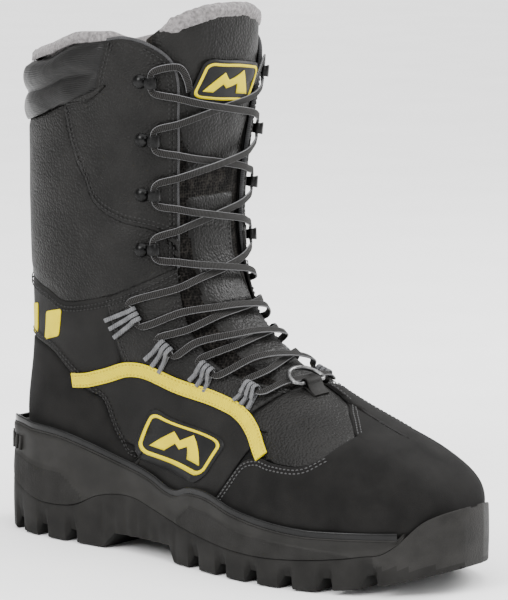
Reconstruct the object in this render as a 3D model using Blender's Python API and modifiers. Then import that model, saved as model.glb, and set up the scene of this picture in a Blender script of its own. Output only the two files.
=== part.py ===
"""An insulated lace-up winter boot for the right foot, as separate sewn, moulded and metal pieces.

The toe points to -Y, the heel to +Y, the outer (lateral) side to -X and +Z is up. All dimensions
below are millimetres and are scaled to metres as each mesh is made. The upper is laid out on one
surface, the last, with two coordinates: u runs from the top of the shaft (0) through the ankle (6)
to the tip of the toe (14), and v runs round it, 0 on the front centre line, negative on the lateral
side, +1 and -1 meeting at the back seam and under the foot. A lift is a height above that surface.
"""

import math

import bmesh
import bpy
import numpy as np
from mathutils import Matrix, Vector

MM = 0.001

# Sections of the last. Each joins a front point to a back point and has its own half widths.
# front y, front z, back y, back z, lateral, medial, height of the widest place, front and back power
LAST = np.array([
    (6, 306, 141, 306, 52, 58, 0.05, 2.6, 2.3),
    (9, 270, 141, 270, 51, 56, 0.05, 2.6, 2.3),
    (16, 235, 141, 232, 50, 54, 0.05, 2.7, 2.3),
    (20, 200, 141, 192, 49, 52, 0.05, 2.7, 2.3),
    (18, 168, 141, 150, 48, 50, 0.05, 2.7, 2.3),
    (6, 144, 143, 105, 44, 46, 0.0, 2.7, 2.3),
    (-12, 126, 147, 60, 40, 43, -0.1, 2.7, 2.6),
    (-29, 114, 130, 24, 39.5, 43, -0.2, 2.7, 3.0),
    (-46, 104, 50, 20, 43.5, 45, -0.25, 2.7, 3.0),
    (-68, 93, -10, 20, 53, 49, -0.3, 2.6, 3.2),
    (-93, 83, -60, 20, 57, 51, -0.3, 2.5, 3.2),
    (-120, 73, -105, 22, 50, 47, -0.3, 2.5, 3.0),
    (-141, 61, -134, 25, 36, 38, -0.25, 2.5, 2.8),
    (-149.5, 47, -147.5, 30, 18, 21, 0.0, 2.2, 2.4),
    (-152.5, 39.5, -152.5, 37.5, 2, 2, 0.0, 2.0, 2.0),
])
LAST_END = len(LAST) - 1

# Layers of the upper: lift of the outer face, thickness.
PANEL = (0.0, 2.0)
STIFFENER = (-3.1, 0.9)
OVERLAY = (1.4, 0.9)
TONGUE_OVERLAY = (-1.7, 0.7)
LINING = (-4.9, 2.8)
FOOTBED = (-9.3, 4.0)
TONGUE = (-2.8, 4.0)
TONGUE_FLEECE = (-7.4, 3.2)
COLLAR = (1.0, 3.0)
SEAM_GAP = 0.35
PIECE_GAP = 0.35
CAVITY_LIFT = 1.4

# Sole outline: distance forward of the heel, lateral and medial half widths.
HEEL_Y = 159.0
SOLE_LENGTH = 318.0
SOLE_PLAN = np.array([
    (0, 8, 8), (3, 17, 17), (12, 30, 30), (30, 40, 41), (55, 44, 46), (85, 44.5, 46),
    (112, 44.5, 46), (140, 48, 48), (170, 54.5, 51), (200, 60, 54), (225, 61, 55), (250, 58, 54),
    (275, 50, 49), (295, 39, 40), (308, 26, 29), (315, 15, 17), (318, 7, 9),
])
SPRING_START, SPRING_RISE = 235.0, 14.0
HEEL_BEVEL_LENGTH, HEEL_BEVEL_RISE = 20.0, 4.0
HEEL_BREAST, FOREFOOT_EDGE = 93.0, 150.0
HEEL_SLOPE, FOREFOOT_SLOPE = 8.0, 3.0
SHANK_HEIGHT = 9.0
SHANK_ENDS = (HEEL_BREAST, HEEL_BREAST + HEEL_SLOPE, FOREFOOT_EDGE - FOREFOOT_SLOPE, FOREFOOT_EDGE)
LUG_DEPTH = 7.0
GROOVES = (24, 46, 69, 168, 191, 214, 237, 260, 283)
RUBBER_FLOOR = 7.5
TRAY_WALL = 5.0
FOAM_TOE_END = 298.0
# The rubber is solid to its edge behind the first and beyond the last of these, and a tray between.
TRAY_ENDS = (3.0, 6.0, FOAM_TOE_END + 0.5, FOAM_TOE_END + 1.5)
# Height of the rubber's upper edge and of the foam's upper edge, by distance forward of the heel.
RUBBER_EDGE = np.array([
    (0, 36), (6, 34), (29, 24.5), (42, 21), (58, 20.5), (72, 22.5), (87, 29), (101, 32), (115, 32),
    (131, 28), (146, 24), (159, 21.5), (174, 19), (201, 16), (220, 15.5), (245, 17), (263, 19),
    (279, 21.5), (290, 24), (296, 29), (300, 34), (305, 40), (311, 44), (318, 47),
])
FOAM_EDGE = np.array([
    (0, 57), (9, 61), (37, 61), (60, 59.5), (82, 55), (104, 49.5), (128, 43.5), (143, 38),
    (150, 37.5), (159, 40.5), (173, 41), (198, 35), (220, 31.5), (246, 29.5), (268, 30), (300, 31),
])

# Seams on one side of the upper, as (u, v) on the medial side; the lateral side mirrors them.
THROAT_TOP = [(0.40, 0.395), (0.50, 0.31), (0.72, 0.24), (1.03, 0.202), (1.54, 0.182),
              (2.18, 0.16), (3.0, 0.148), (3.42, 0.148)]
SHAFT_REAR = [(0.47, 0.455), (0.92, 0.468), (1.38, 0.485), (1.52, 0.555), (2.05, 0.53),
              (2.57, 0.497), (3.02, 0.465), (3.29, 0.38), (3.44, 0.265), (3.62, 0.165)]
COLLAR_SEAM = [(1.52, 0.565), (1.70, 0.65), (1.80, 0.75), (1.86, 0.88), (1.88, 1.0)]
COLLAR_TOP = [(0.50, 0.475), (0.62, 0.53), (0.85, 0.62), (0.96, 0.75), (1.02, 0.88), (1.04, 1.0)]
ANKLE_SEAM = [(4.16, 0.172), (4.34, 0.295), (4.51, 0.45), (4.49, 0.565), (4.28, 0.64),
              (4.06, 0.775), (3.95, 0.9), (3.92, 1.0)]
QUARTER_REAR = [(4.58, 0.44), (5.3, 0.438), (5.80, 0.425)]
STRIPE_LINE = [(5.72, 0.54), (5.84, 0.487), (5.88, 0.438), (6.09, 0.395), (6.54, 0.35),
               (7.15, 0.305), (7.74, 0.293), (8.19, 0.296), (8.52, 0.308), (8.77, 0.325),
               (9.10, 0.360)]
THROAT_LOWER = [(4.24, 0.172), (4.8, 0.21), (5.4, 0.24), (6.3, 0.235), (7.0, 0.205),
                (7.7, 0.15), (8.22, 0.085)]
HEEL_SEAM = [(4.80, 1.0), (4.84, 0.88), (4.90, 0.775), (5.16, 0.638), (5.71, 0.535),
             (6.07, 0.503), (6.42, 0.49), (7.0, 0.49), (7.55, 0.508), (7.86, 0.66)]
HEEL_FEATHER = [(6.52, 1.0), (6.55, 0.95), (6.66, 0.90), (6.90, 0.86), (7.10, 0.83),
                (7.30, 0.81), (7.45, 0.80), (7.65, 0.79), (7.85, 0.78)]
FEATHER_V = 0.77
VAMP_OUTER = [(8.29, 0.285), (8.52, 0.297), (8.79, 0.314), (9.12, 0.350)]
# The medial and lateral edges of the centre strip of the toe cap, and the seam across the toe.
STRIP_MEDIAL = [(8.36, 0.165), (8.98, 0.165), (9.6, 0.18), (10.10, 0.22)]
STRIP_LATERAL = [(8.36, 0.035), (8.98, 0.02), (9.6, -0.02), (10.10, -0.08)]
TOE_SEAM = [(10.13, 0.25), (9.92, 0.332), (9.42, 0.367), (9.12, 0.374), (8.90, 0.41),
            (8.90, 0.485), (8.94, 0.62), (9.0, 0.76)]
# Half width of the tongue by u, and of the plain leather between its two mesh sides.
TONGUE_WIDTH = [(0.14, 0.245), (0.8, 0.24), (1.5, 0.225), (2.5, 0.21), (3.6, 0.21), (4.4, 0.235),
                (5.4, 0.27), (6.3, 0.262), (7.0, 0.235), (7.7, 0.18), (8.15, 0.12)]
MESH_OUTER = [(1.7, 0.155), (2.3, 0.142), (3.0, 0.133), (3.66, 0.135), (4.3, 0.155), (4.9, 0.195),
              (5.4, 0.222), (6.3, 0.218), (7.0, 0.185), (7.6, 0.14)]
MESH_INNER = [(1.7, 0.135), (2.3, 0.10), (3.0, 0.085), (3.66, 0.082), (4.3, 0.085), (4.9, 0.11),
              (5.4, 0.13), (6.3, 0.135), (7.0, 0.12), (7.6, 0.10)]
LINING_SLOT_V = 0.3125
LINING_SLOT_END = 8.5

TONGUE_BADGE = [(0.80, -0.085), (0.96, 0.147), (1.50, 0.088), (1.34, -0.137)]
SIDE_BADGE = [(6.90, 0.412), (8.25, 0.385), (8.45, 0.480), (7.39, 0.480)]
HEEL_ACCENT_TOP = [(4.30, 1.0), (4.36, 0.81), (4.68, 0.625)]
HEEL_ACCENT_LOW = [(4.66, 1.0), (4.72, 0.81), (5.00, 0.640)]

# Lace stations from the top down, on one side: rivets of the hooks, then root and tip of the loops.
HOOKS = [(1.08, 0.332), (2.0, 0.305), (2.86, 0.292), (3.76, 0.300)]
LOOPS = [((5.05, 0.452), (4.89, 0.365)), ((5.95, 0.371), (5.66, 0.312)),
         ((6.82, 0.291), (6.50, 0.235)), ((7.88, 0.257), (7.68, 0.180))]
LOOP_STRANDS = 3
LOOP_WIDTH, LOOP_SLOT = 8.2, 1.2
LOOP_THICKNESS = 0.8
LOOP_EYE_RADIUS = 2.8
LOOP_LOW_LIFT = 1.05
# Side view of a hook: distance toward the throat from its rivet, height above the leather.
HOOK_PATH = [(-4.0, 0.9), (2.0, 0.9), (6.0, 0.95), (8.6, 1.7), (9.9, 3.3), (9.8, 5.1), (8.4, 6.6),
             (6.3, 7.0), (4.2, 6.6)]
HOOK_WIDTH, HOOK_THICKNESS = 7.0, 1.0
HOOK_LACE_AT = (7.1, 3.8)
RIVET_RADIUS, RIVET_HEIGHT = 3.8, 2.2

LACE_RADIUS = 1.5
LACE_OVER, LACE_UNDER = 4.2, 0.6
LACE_EDGE_OVER, LACE_EDGE_UNDER = 3.6, 2.7
LACE_SPACING = 8.0
LACE_BOTTOM = [(8.0, -0.10, 2.4), (8.0, 0.0, 0.6), (8.0, 0.10, 2.4)]
LACE_END = [(0.86, 0.20, 2.3), (1.05, 0.165, 0.9), (1.25, 0.145, -0.4)]

D_RING_AT = (8.30, -0.02)
D_RING_LIFT = 3.4
D_RING_WIRE, D_RING_WIDTH, D_RING_HEIGHT = 1.3, 26.0, 16.0
TAB_SIZE = (12.0, 11.0, 5.2)
TAB_SHIFT = 2.5
PULL_STRAP = [(2.25, 0.7), (2.45, 0.7), (2.8, 1.6), (3.2, 1.9), (3.5, 1.6), (3.72, 0.7), (3.82, 0.7)]
PULL_STRAP_WIDTH = 16.0
SHANK = (14.0, 84.0, 1.8)
SHANK_AT = (0.0, 32.0, 17.6)
TONGUE_HINGE = (-44.0, 92.0)
FOOTBED_HINGE = (-124.0, 34.0)

RUBBER = ("outsole_rubber", (0.030, 0.029, 0.027), 0.75, 0.0)
FOAM = ("midsole_foam", (0.052, 0.050, 0.045), 0.7, 0.0)
WELT = ("welt_gloss", (0.012, 0.012, 0.012), 0.3, 0.0)
NUBUCK = ("nubuck_leather", (0.018, 0.017, 0.016), 0.9, 0.0)
GRAIN = ("grained_leather", (0.030, 0.028, 0.027), 0.55, 0.0)
SMOOTH = ("smooth_leather", (0.025, 0.023, 0.022), 0.6, 0.0)
STRETCH = ("collar_stretch_fabric", (0.045, 0.042, 0.042), 0.5, 0.0)
MESH = ("tongue_mesh_fabric", (0.040, 0.034, 0.030), 0.95, 0.0)
FLEECE = ("fleece_lining", (0.17, 0.15, 0.15), 1.0, 0.0)
YELLOW = ("yellow_webbing", (0.95, 0.78, 0.01), 0.7, 0.0)
BADGE = ("yellow_printed_rubber", (0.95, 0.80, 0.01), 0.5, 0.0)
LOOP_WEB = ("grey_webbing", (0.33, 0.33, 0.35), 0.8, 0.0)
HOOK_METAL = ("black_hook_metal", (0.020, 0.020, 0.020), 0.3, 1.0)
GUNMETAL = ("gunmetal_wire", (0.16, 0.16, 0.16), 0.3, 1.0)
LACE = ("lace_braid", (0.028, 0.023, 0.021), 0.85, 0.0)
BOARD = ("lasting_board", (0.30, 0.24, 0.17), 0.9, 0.0)
STIFF = ("stiffener_plastic", (0.10, 0.10, 0.11), 0.6, 0.0)
STEEL = ("shank_steel", (0.45, 0.46, 0.48), 0.35, 1.0)
INSOLE = ("footbed_foam", (0.08, 0.08, 0.09), 0.95, 0.0)


def clear_scene():
    for item in list(bpy.data.objects):
        bpy.data.objects.remove(item, do_unlink=True)


def new_collection(name):
    collection = bpy.data.collections.new(name)
    bpy.context.scene.collection.children.link(collection)
    return collection


def material(spec):
    name, colour, roughness, metallic = spec
    made = bpy.data.materials.get(name)
    if made is None:
        made = bpy.data.materials.new(name)
        made.use_nodes = True
        shader = made.node_tree.nodes["Principled BSDF"]
        shader.inputs["Base Color"].default_value = (*colour, 1.0)
        shader.inputs["Roughness"].default_value = roughness
        shader.inputs["Metallic"].default_value = metallic
    return made


# ---------------------------------------------------------------- the last

def last_rows(u):
    """The section values at each u, on a smooth curve through the table's rows."""
    padded = np.vstack([2 * LAST[0] - LAST[1], LAST, 2 * LAST[-1] - LAST[-2]])
    u = np.clip(np.asarray(u, float), -0.4, LAST_END)
    i = np.clip(np.floor(u).astype(int), 0, LAST_END - 1)
    t = (u - i)[..., None]
    p0, p1, p2, p3 = (padded[i + k] for k in range(4))
    m1, m2 = (p2 - p0) / 2, (p3 - p1) / 2
    return ((2 * t**3 - 3 * t**2 + 1) * p1 + (t**3 - 2 * t**2 + t) * m1
            + (3 * t**2 - 2 * t**3) * p2 + (t**3 - t**2) * m2)


def last_point(u, v):
    u, v = np.broadcast_arrays(np.asarray(u, float), np.asarray(v, float))
    v = (v + 1) % 2 - 1
    fy, fz, by, bz, lateral, medial, widest, front_power, back_power = np.moveaxis(last_rows(u), -1, 0)
    c, s = np.cos(np.abs(v) * math.pi), np.sin(np.abs(v) * math.pi)
    power = np.where(c >= 0, front_power, back_power)
    reach = np.sign(c) * np.abs(c) ** (2 / power)
    along = widest + np.where(c >= 0, 1 - widest, 1 + widest) * reach
    across = np.sign(v) * np.where(v < 0, lateral, medial) * np.abs(s) ** (2 / power)
    y = (fy + by) / 2 + (fy - by) / 2 * along
    z = (fz + bz) / 2 + (fz - bz) / 2 * along
    return np.stack([across, y, z], -1)


def last_normal(u, v):
    u, v = np.broadcast_arrays(np.asarray(u, float), np.asarray(v, float))
    du, dv = 0.03, 0.006
    low, high = np.clip(u - du, -0.4, LAST_END), np.clip(u + du, -0.4, LAST_END)
    along = last_point(high, v) - last_point(low, v)
    across = last_point(u, v + dv) - last_point(u, v - dv)
    normal = np.cross(along, across)
    return normal / np.linalg.norm(normal, axis=-1, keepdims=True)


def on_last(u, v, lift):
    return last_point(u, v) + last_normal(u, v) * np.asarray(lift)[..., None]


def local_frame(u, v, lift):
    """Origin and axes at a place on the last: across to medial, down the last, outward."""
    outward = Vector(last_normal(u, v))
    across = Vector(last_point(u, v + 0.01) - last_point(u, v - 0.01)).normalized()
    down = outward.cross(across).normalized()
    down = down if down.dot(Vector(last_point(u + 0.05, v) - last_point(u - 0.05, v))) > 0 else -down
    across = down.cross(outward).normalized()
    across = across if across.x >= 0 else -across
    return Vector(on_last(u, v, lift)), across, down, outward


def walk(u, v, across, down):
    """The (u, v) reached by going a distance in mm across and down the last from a place."""
    du, dv = 0.02, 0.004
    step_u = (last_point(u + du, v) - last_point(u - du, v)) / (2 * du)
    step_v = (last_point(u, v + dv) - last_point(u, v - dv)) / (2 * dv)
    _, axis_across, axis_down, _ = local_frame(u, v, 0.0)
    target = np.array(axis_across) * across + np.array(axis_down) * down
    change = np.linalg.lstsq(np.stack([step_u, step_v], 1), target, rcond=None)[0]
    return u + change[0], v + change[1]


def interpolate(table, at, column=1):
    table = np.asarray(table, float)
    return np.interp(at, table[:, 0], table[:, column])


def run(points, count):
    """A polyline read at evenly spaced distances, ends included."""
    points = np.asarray(points, float)
    scaled = points * (1.0, 8.0)
    lengths = np.linalg.norm(np.diff(scaled, axis=0), axis=1)
    reached = np.concatenate([[0], np.cumsum(lengths)])
    at = np.linspace(0, reached[-1], count)
    return np.stack([np.interp(at, reached, points[:, k]) for k in range(2)], -1)


def mirrored(points):
    return np.asarray(points, float) * (1, -1)


def round_the_back(points):
    """A medial seam that ends at v = 1 carried on round the back to the lateral side."""
    points = np.asarray(points, float)
    other = points[::-1][1:] * (1, -1) + (0, 2)
    return np.vstack([points, other])


# ---------------------------------------------------------------- making objects

def mesh_object(name, verts, faces, spec, collection, smooth=True):
    mesh = bpy.data.meshes.new(name)
    mesh.from_pydata([tuple(p) for p in np.asarray(verts) * MM], [], faces)
    mesh.validate()
    work = bmesh.new()
    work.from_mesh(mesh)
    bmesh.ops.remove_doubles(work, verts=work.verts, dist=0.00002)
    work.to_mesh(mesh)
    work.free()
    mesh.shade_smooth() if smooth else mesh.shade_flat()
    made = bpy.data.objects.new(name, mesh)
    made.data.materials.append(material(spec))
    collection.objects.link(made)
    return made


def grid_faces(rows, cols, wrap=False):
    last_col = cols if wrap else cols - 1
    return [(r * cols + c, r * cols + (c + 1) % cols, (r + 1) * cols + (c + 1) % cols, (r + 1) * cols + c)
            for r in range(rows - 1) for c in range(last_col)]


def facing(verts, faces, outward):
    """Faces turned so that the middle one agrees with the outward direction."""
    face = faces[len(faces) // 2]
    a, b, c = (Vector(verts[k]) for k in face[:3])
    turned = (b - a).cross(c - a).dot(Vector(outward)) < 0
    return [tuple(reversed(f)) for f in faces] if turned else faces


def thicken(item, thickness):
    solid = item.modifiers.new("thickness", "SOLIDIFY")
    solid.thickness = thickness * MM
    solid.offset = -1.0
    return solid


def sheet_on_last(name, uv, layer, spec, collection):
    """A sheet of material over a grid of (u, v) places, with its outer face at the layer's lift."""
    rows, cols = uv.shape[:2]
    verts = on_last(uv[..., 0], uv[..., 1], np.full(uv.shape[:2], layer[0])).reshape(-1, 3)
    faces = grid_faces(rows, cols)
    face = faces[len(faces) // 2]
    middle = uv.reshape(-1, 2)[list(face)].mean(axis=0)
    made = mesh_object(name, verts, facing(verts, faces, last_normal(*middle)), spec, collection)
    thicken(made, layer[1])
    return made


def between(edge_a, edge_b, rows, gap=SEAM_GAP):
    """A grid of (u, v) places ruled between two seams, drawn in from all four by the seam gap."""
    a, b = np.asarray(edge_a, float), np.asarray(edge_b, float)
    share = np.linspace(0, 1, rows)[:, None, None]
    uv = a * (1 - share) + b * share
    for axis in (0, 1):
        lines = np.moveaxis(uv, axis, 0)
        for edge, inner in ((0, 1), (-1, -2)):
            here, there = (last_point(*np.moveaxis(lines[k], -1, 0)) for k in (edge, inner))
            length = np.maximum(np.linalg.norm(there - here, axis=-1, keepdims=True), 0.5)
            lines[edge] += (lines[inner] - lines[edge]) * np.minimum(gap / length, 0.8)
    return uv


def loft(name, rings, spec, collection, smooth=False):
    """A closed solid through rings with the same number of points, flat at both ends."""
    rings = np.asarray(rings, float)
    count = rings.shape[1]
    verts = rings.reshape(-1, 3)
    faces = grid_faces(len(rings), count, wrap=True)
    faces.append(tuple(reversed(range(count))))
    faces.append(tuple(range((len(rings) - 1) * count, len(rings) * count)))
    made = mesh_object(name, verts, faces, spec, collection, smooth)
    work = bmesh.new()
    work.from_mesh(made.data)
    bmesh.ops.recalc_face_normals(work, faces=work.faces)
    work.to_mesh(made.data)
    work.free()
    return made


def ribbon(name, centres, sides, half_width, thickness, spec, collection):
    """A flat strip of constant width swept through its centre points, with its flat side given."""
    centres, sides = np.asarray(centres, float), np.asarray(sides, float)
    sides = sides / np.linalg.norm(sides, axis=1, keepdims=True)
    ahead = np.gradient(centres, axis=0)
    up = np.cross(sides, ahead)
    up /= np.linalg.norm(up, axis=1, keepdims=True)
    corners = ((-1, -1), (1, -1), (1, 1), (-1, 1))
    rings = [[c + s * half_width * p + h * thickness / 2 * q for p, q in corners]
             for c, s, h in zip(centres, sides, up)]
    return loft(name, rings, spec, collection)


def cut(target, cutter, cutters):
    for collection in list(cutter.users_collection):
        collection.objects.unlink(cutter)
    cutters.objects.link(cutter)
    cutter.display_type = "WIRE"
    cutter.hide_render = True
    boolean = target.modifiers.new("cut_" + cutter.name, "BOOLEAN")
    boolean.operation = "DIFFERENCE"
    boolean.solver = "EXACT"
    boolean.object = cutter


def hang_from(item, parent):
    """The piece kept where it is, with a hinge's empty as its parent."""
    item.parent = parent
    item.matrix_parent_inverse = parent.matrix_world.inverted()


def empty_at(name, location, collection):
    made = bpy.data.objects.new(name, None)
    made.empty_display_size = 0.02
    made.location = Vector(location) * MM
    collection.objects.link(made)
    bpy.context.view_layer.update()
    return made


# ---------------------------------------------------------------- sole

def sole_width(s):
    return interpolate(SOLE_PLAN, s, 1), interpolate(SOLE_PLAN, s, 2)


def tread_height(s):
    """Height of the tread's face above the ground, with the raised shank between its two edges."""
    rise = SPRING_RISE * max(0.0, (s - SPRING_START) / (SOLE_LENGTH - SPRING_START)) ** 2
    bevel = HEEL_BEVEL_RISE * max(0.0, 1 - s / HEEL_BEVEL_LENGTH) ** 2
    shank = np.interp(s, SHANK_ENDS, [0, SHANK_HEIGHT, SHANK_HEIGHT, 0])
    return rise + bevel + shank


def sole_stations(extra):
    return sorted(set(SOLE_PLAN[:, 0]) | set(extra))


def tray_floor(s):
    """Height of the rubber's top inside its raised edge, where the foam lies on it."""
    rim = interpolate(RUBBER_EDGE, s) - 1.0
    solid = np.interp(s, TRAY_ENDS, (1, 0, 0, 1))
    return rim * solid + min(tread_height(s) + RUBBER_FLOOR, rim) * (1 - solid)


def sole_ring(s, profile):
    """One section of the sole from (inset from the edge, height) points down the lateral half."""
    lateral, medial = sole_width(s)
    y = HEEL_Y - s
    half = [(-lateral + inset, y, z) for inset, z in profile]
    other = [(medial - inset, y, z) for inset, z in reversed(profile)]
    return half + other


def last_solid(name, lift, first_row, collection):
    """The space that the finished upper takes up, from a row near the ankle to the toe."""
    u = np.concatenate([np.arange(first_row, LAST_END - 0.1, 0.35), [LAST_END]])
    v = np.linspace(-1, 1, 41)[:-1]
    grid_u, grid_v = np.meshgrid(u, v, indexing="ij")
    rings = on_last(grid_u, grid_v, np.full(grid_u.shape, lift))
    return loft(name, rings, FOAM, collection)


def wedge(name, x0, x1, s, depth, collection):
    """A groove cutter across the tread, wider at the ground than at its root."""
    floor = tread_height(s) - 3.0
    root = tread_height(s) + depth
    y = HEEL_Y - s
    rings = [[(x, y - 4.2, floor), (x, y + 4.2, floor), (x, y + 1.8, root), (x, y - 1.8, root)]
             for x in (x0, x1)]
    return loft(name, rings, RUBBER, collection)


def joined(name, items, collection):
    """Separate closed pieces put into one mesh, for use as one cutter."""
    work = bmesh.new()
    for item in items:
        work.from_mesh(item.data)
        bpy.data.objects.remove(item, do_unlink=True)
    mesh = bpy.data.meshes.new(name)
    work.to_mesh(mesh)
    work.free()
    made = bpy.data.objects.new(name, mesh)
    collection.objects.link(made)
    return made


def outsole(parts, cutters):
    """The rubber: lugged tread, raised shank, a tray for the foam and a bumper round the toe."""
    stations = sole_stations([*RUBBER_EDGE[:, 0], *SHANK_ENDS, *TRAY_ENDS])
    rings = []
    for s in stations:
        edge, low = interpolate(RUBBER_EDGE, s), tread_height(s)
        wall = min(TRAY_WALL, sole_width(s)[0] - 2.0)
        rings.append(sole_ring(s, [(wall, tray_floor(s)), (wall, edge - 0.1), (wall - 0.6, edge),
                                   (0.4, edge), (0.0, edge - 0.8), (0.0, low + 1.5), (1.5, low)]))
    body = loft("outsole", rings, RUBBER, parts)
    cut(body, last_solid("foot_space_outsole", CAVITY_LIFT, 5.5, parts), cutters)
    grooves = []
    for k, s in enumerate(GROOVES):
        grooves.append(wedge(f"groove_lateral_{k}", -75, -10, s, LUG_DEPTH - 1, parts))
        grooves.append(wedge(f"groove_medial_{k}", 10, 75, s - 8, LUG_DEPTH - 1, parts))
    cut(body, joined("tread_grooves", grooves, parts), cutters)
    return body


def midsole(parts, cutters):
    """The foam: it fills the rubber tray and rises round the foot as a cup."""
    rear = [s + PIECE_GAP for s in TRAY_ENDS[:2]]
    stations = sole_stations([*RUBBER_EDGE[:, 0], *FOAM_EDGE[:, 0], *SHANK_ENDS, *rear])
    rings = []
    for s in [2.0, *[s for s in stations if 2.0 < s < FOAM_TOE_END], FOAM_TOE_END]:
        edge = interpolate(RUBBER_EDGE, s) + PIECE_GAP
        top = max(interpolate(FOAM_EDGE, s), edge + 3.0)
        wall = min(TRAY_WALL, sole_width(s)[0] - 2.0) + PIECE_GAP
        floor = max(tray_floor(s), tray_floor(s - PIECE_GAP)) + PIECE_GAP
        rings.append(sole_ring(s, [(1.4, top), (0.2, top - 1.2), (0.2, edge), (wall, edge),
                                   (wall, floor)]))
    body = loft("midsole", rings, FOAM, parts)
    cut(body, last_solid("foot_space_midsole", CAVITY_LIFT, 5.5, parts), cutters)
    pocket = box("shank_pocket", (SHANK_AT[0], SHANK_AT[1], SHANK_AT[2] + 2.0),
                 (SHANK[0] + 0.8, SHANK[1] + 0.8, SHANK[2] + 4.6), FOAM, parts)
    cut(body, pocket, cutters)
    return body


def box(name, centre, size, spec, collection):
    bpy.ops.mesh.primitive_cube_add(size=1.0)
    made = bpy.context.object
    made.name = made.data.name = name
    made.data.transform(Matrix.Diagonal((*(Vector(size) * MM), 1.0)))
    made.location = Vector(centre) * MM
    made.data.materials.append(material(spec))
    for other in list(made.users_collection):
        other.objects.unlink(made)
    collection.objects.link(made)
    return made


def shank_plate(parts):
    plate = box("shank_plate", SHANK_AT, SHANK, STEEL, parts)
    bevel = plate.modifiers.new("rounded", "BEVEL")
    bevel.width, bevel.segments = 0.4 * MM, 1
    return plate


def welt_strip(parts):
    """The glossy strip that seals the upper to the foam, from one end of the bumper to the other."""
    distances = [s for s in sole_stations(FOAM_EDGE[:, 0]) if 2 < s < FOAM_TOE_END - 1]
    centres = []
    for side, order in ((-1, reversed(distances)), (1, distances)):
        for s in order:
            width = sole_width(s)[0 if side < 0 else 1] - 1.1
            centres.append((side * width, HEEL_Y - s - 1.0, interpolate(FOAM_EDGE, s) + 2.5))
    up = [(0.0, 0.0, 1.0)] * len(centres)
    return ribbon("welt_strip", centres, up, 1.8, 1.2, WELT, parts)


def patch(u, v):
    return np.stack(np.meshgrid(u, v, indexing="ij"), -1)


def insole_board(parts):
    uv = patch(np.linspace(7.4, 12.6, 12), np.linspace(0.83, 1.17, 9))
    return sheet_on_last("insole_board", uv, PANEL, BOARD, parts)


def stiffeners(parts):
    sheet_on_last("heel_stiffener", patch(np.linspace(5.2, 6.6, 6), np.linspace(0.56, 1.44, 15)),
                  STIFFENER, STIFF, parts)
    sheet_on_last("toe_stiffener", patch(np.linspace(10.9, 12.75, 7), np.linspace(-0.66, 0.66, 19)),
                  STIFFENER, STIFF, parts)


def lining_bootie(parts):
    """The insulated inner boot: open at the collar and along the throat, closed round the foot."""
    v = np.linspace(-1, 1, 33)[:-1]
    collar = np.interp(np.abs(v), [0.3, 0.45, 0.53, 0.62, 0.75, 1], [0.62, 0.56, 0.58, 0.8, 0.92, 1.0])
    rows = [collar, collar * 0.4 + 0.6 * 1.5]
    rows += [np.full(v.shape, u) for u in np.arange(1.5, 12.8, 0.7)]
    grid_u = np.array(rows)
    count = len(v)
    grid_v = np.broadcast_to(v, grid_u.shape)
    verts = on_last(grid_u, grid_v, np.full(grid_u.shape, LINING[0])).reshape(-1, 3)
    slot = grid_u.reshape(-1) < LINING_SLOT_END + 0.01, np.abs(grid_v.reshape(-1)) < LINING_SLOT_V + 0.01
    in_slot = slot[0] & slot[1]
    faces = [f for f in grid_faces(len(rows), count, wrap=True) if not all(in_slot[k] for k in f)]
    faces.append(tuple(range(len(verts) - count, len(verts))))
    made = mesh_object("lining_bootie", verts, faces, FLEECE, parts)
    work = bmesh.new()
    work.from_mesh(made.data)
    bmesh.ops.delete(work, geom=[p for p in work.verts if not p.link_faces], context="VERTS")
    bmesh.ops.recalc_face_normals(work, faces=work.faces)
    work.to_mesh(made.data)
    work.free()
    thicken(made, LINING[1])
    return made


def footbed(parts):
    """The removable insole: its heel end lifts about its toe end to be taken out."""
    pivot = empty_at("footbed_hinge", (0.0, *FOOTBED_HINGE), parts)
    uv = patch(np.linspace(7.6, 12.0, 11), np.linspace(0.86, 1.14, 7))
    hang_from(sheet_on_last("footbed", uv, FOOTBED, INSOLE, parts), pivot)


def both_sides(name, edge_a, edge_b, rows, layer, spec, parts):
    for side, flip in (("medial", 1), ("lateral", -1)):
        uv = between(edge_a * (1, flip), edge_b * (1, flip), rows)
        sheet_on_last(f"{name}_{side}", uv, layer, spec, parts)


def shaft_panels(parts):
    """The eyestay panels: one each side, from the throat edge back to the curved rear seam."""
    both_sides("shaft_panel", run(THROAT_TOP, 12), run(SHAFT_REAR, 12), 8, PANEL, GRAIN, parts)


def collar_pad(parts):
    top = round_the_back(run(COLLAR_TOP, 8))
    low = round_the_back(np.vstack([(1.38, 0.51), run(COLLAR_SEAM, 7)]))
    return sheet_on_last("collar_pad", between(top, low, 5), COLLAR, STRETCH, parts)


def rear_shaft_panel(parts):
    """The lower part of the shaft, in one piece round the back between the two side seams."""
    upper = np.vstack([run(SHAFT_REAR[3:][::-1], 9), run(COLLAR_SEAM, 6)[1:]])
    lower = run(ANKLE_SEAM, len(upper))
    uv = between(round_the_back(upper), round_the_back(lower), 6)
    return sheet_on_last("rear_shaft_panel", uv, PANEL, GRAIN, parts)


def ankle_panel(parts):
    upper = run(ANKLE_SEAM[2:], 9) + (0.03, 0.0)
    lower = np.vstack([run([(5.78, 0.45), (5.66, 0.535)], 3)[:-1], run(HEEL_SEAM[:5][::-1], 7)])
    uv = between(round_the_back(upper), round_the_back(lower), 6)
    return sheet_on_last("ankle_panel", uv, PANEL, SMOOTH, parts)


def heel_counter(parts):
    upper, lower = run(HEEL_SEAM[::-1], 12), run(HEEL_FEATHER[::-1], 12)
    uv = between(round_the_back(upper), round_the_back(lower), 7)
    return sheet_on_last("heel_counter", uv, PANEL, NUBUCK, parts)


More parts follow.
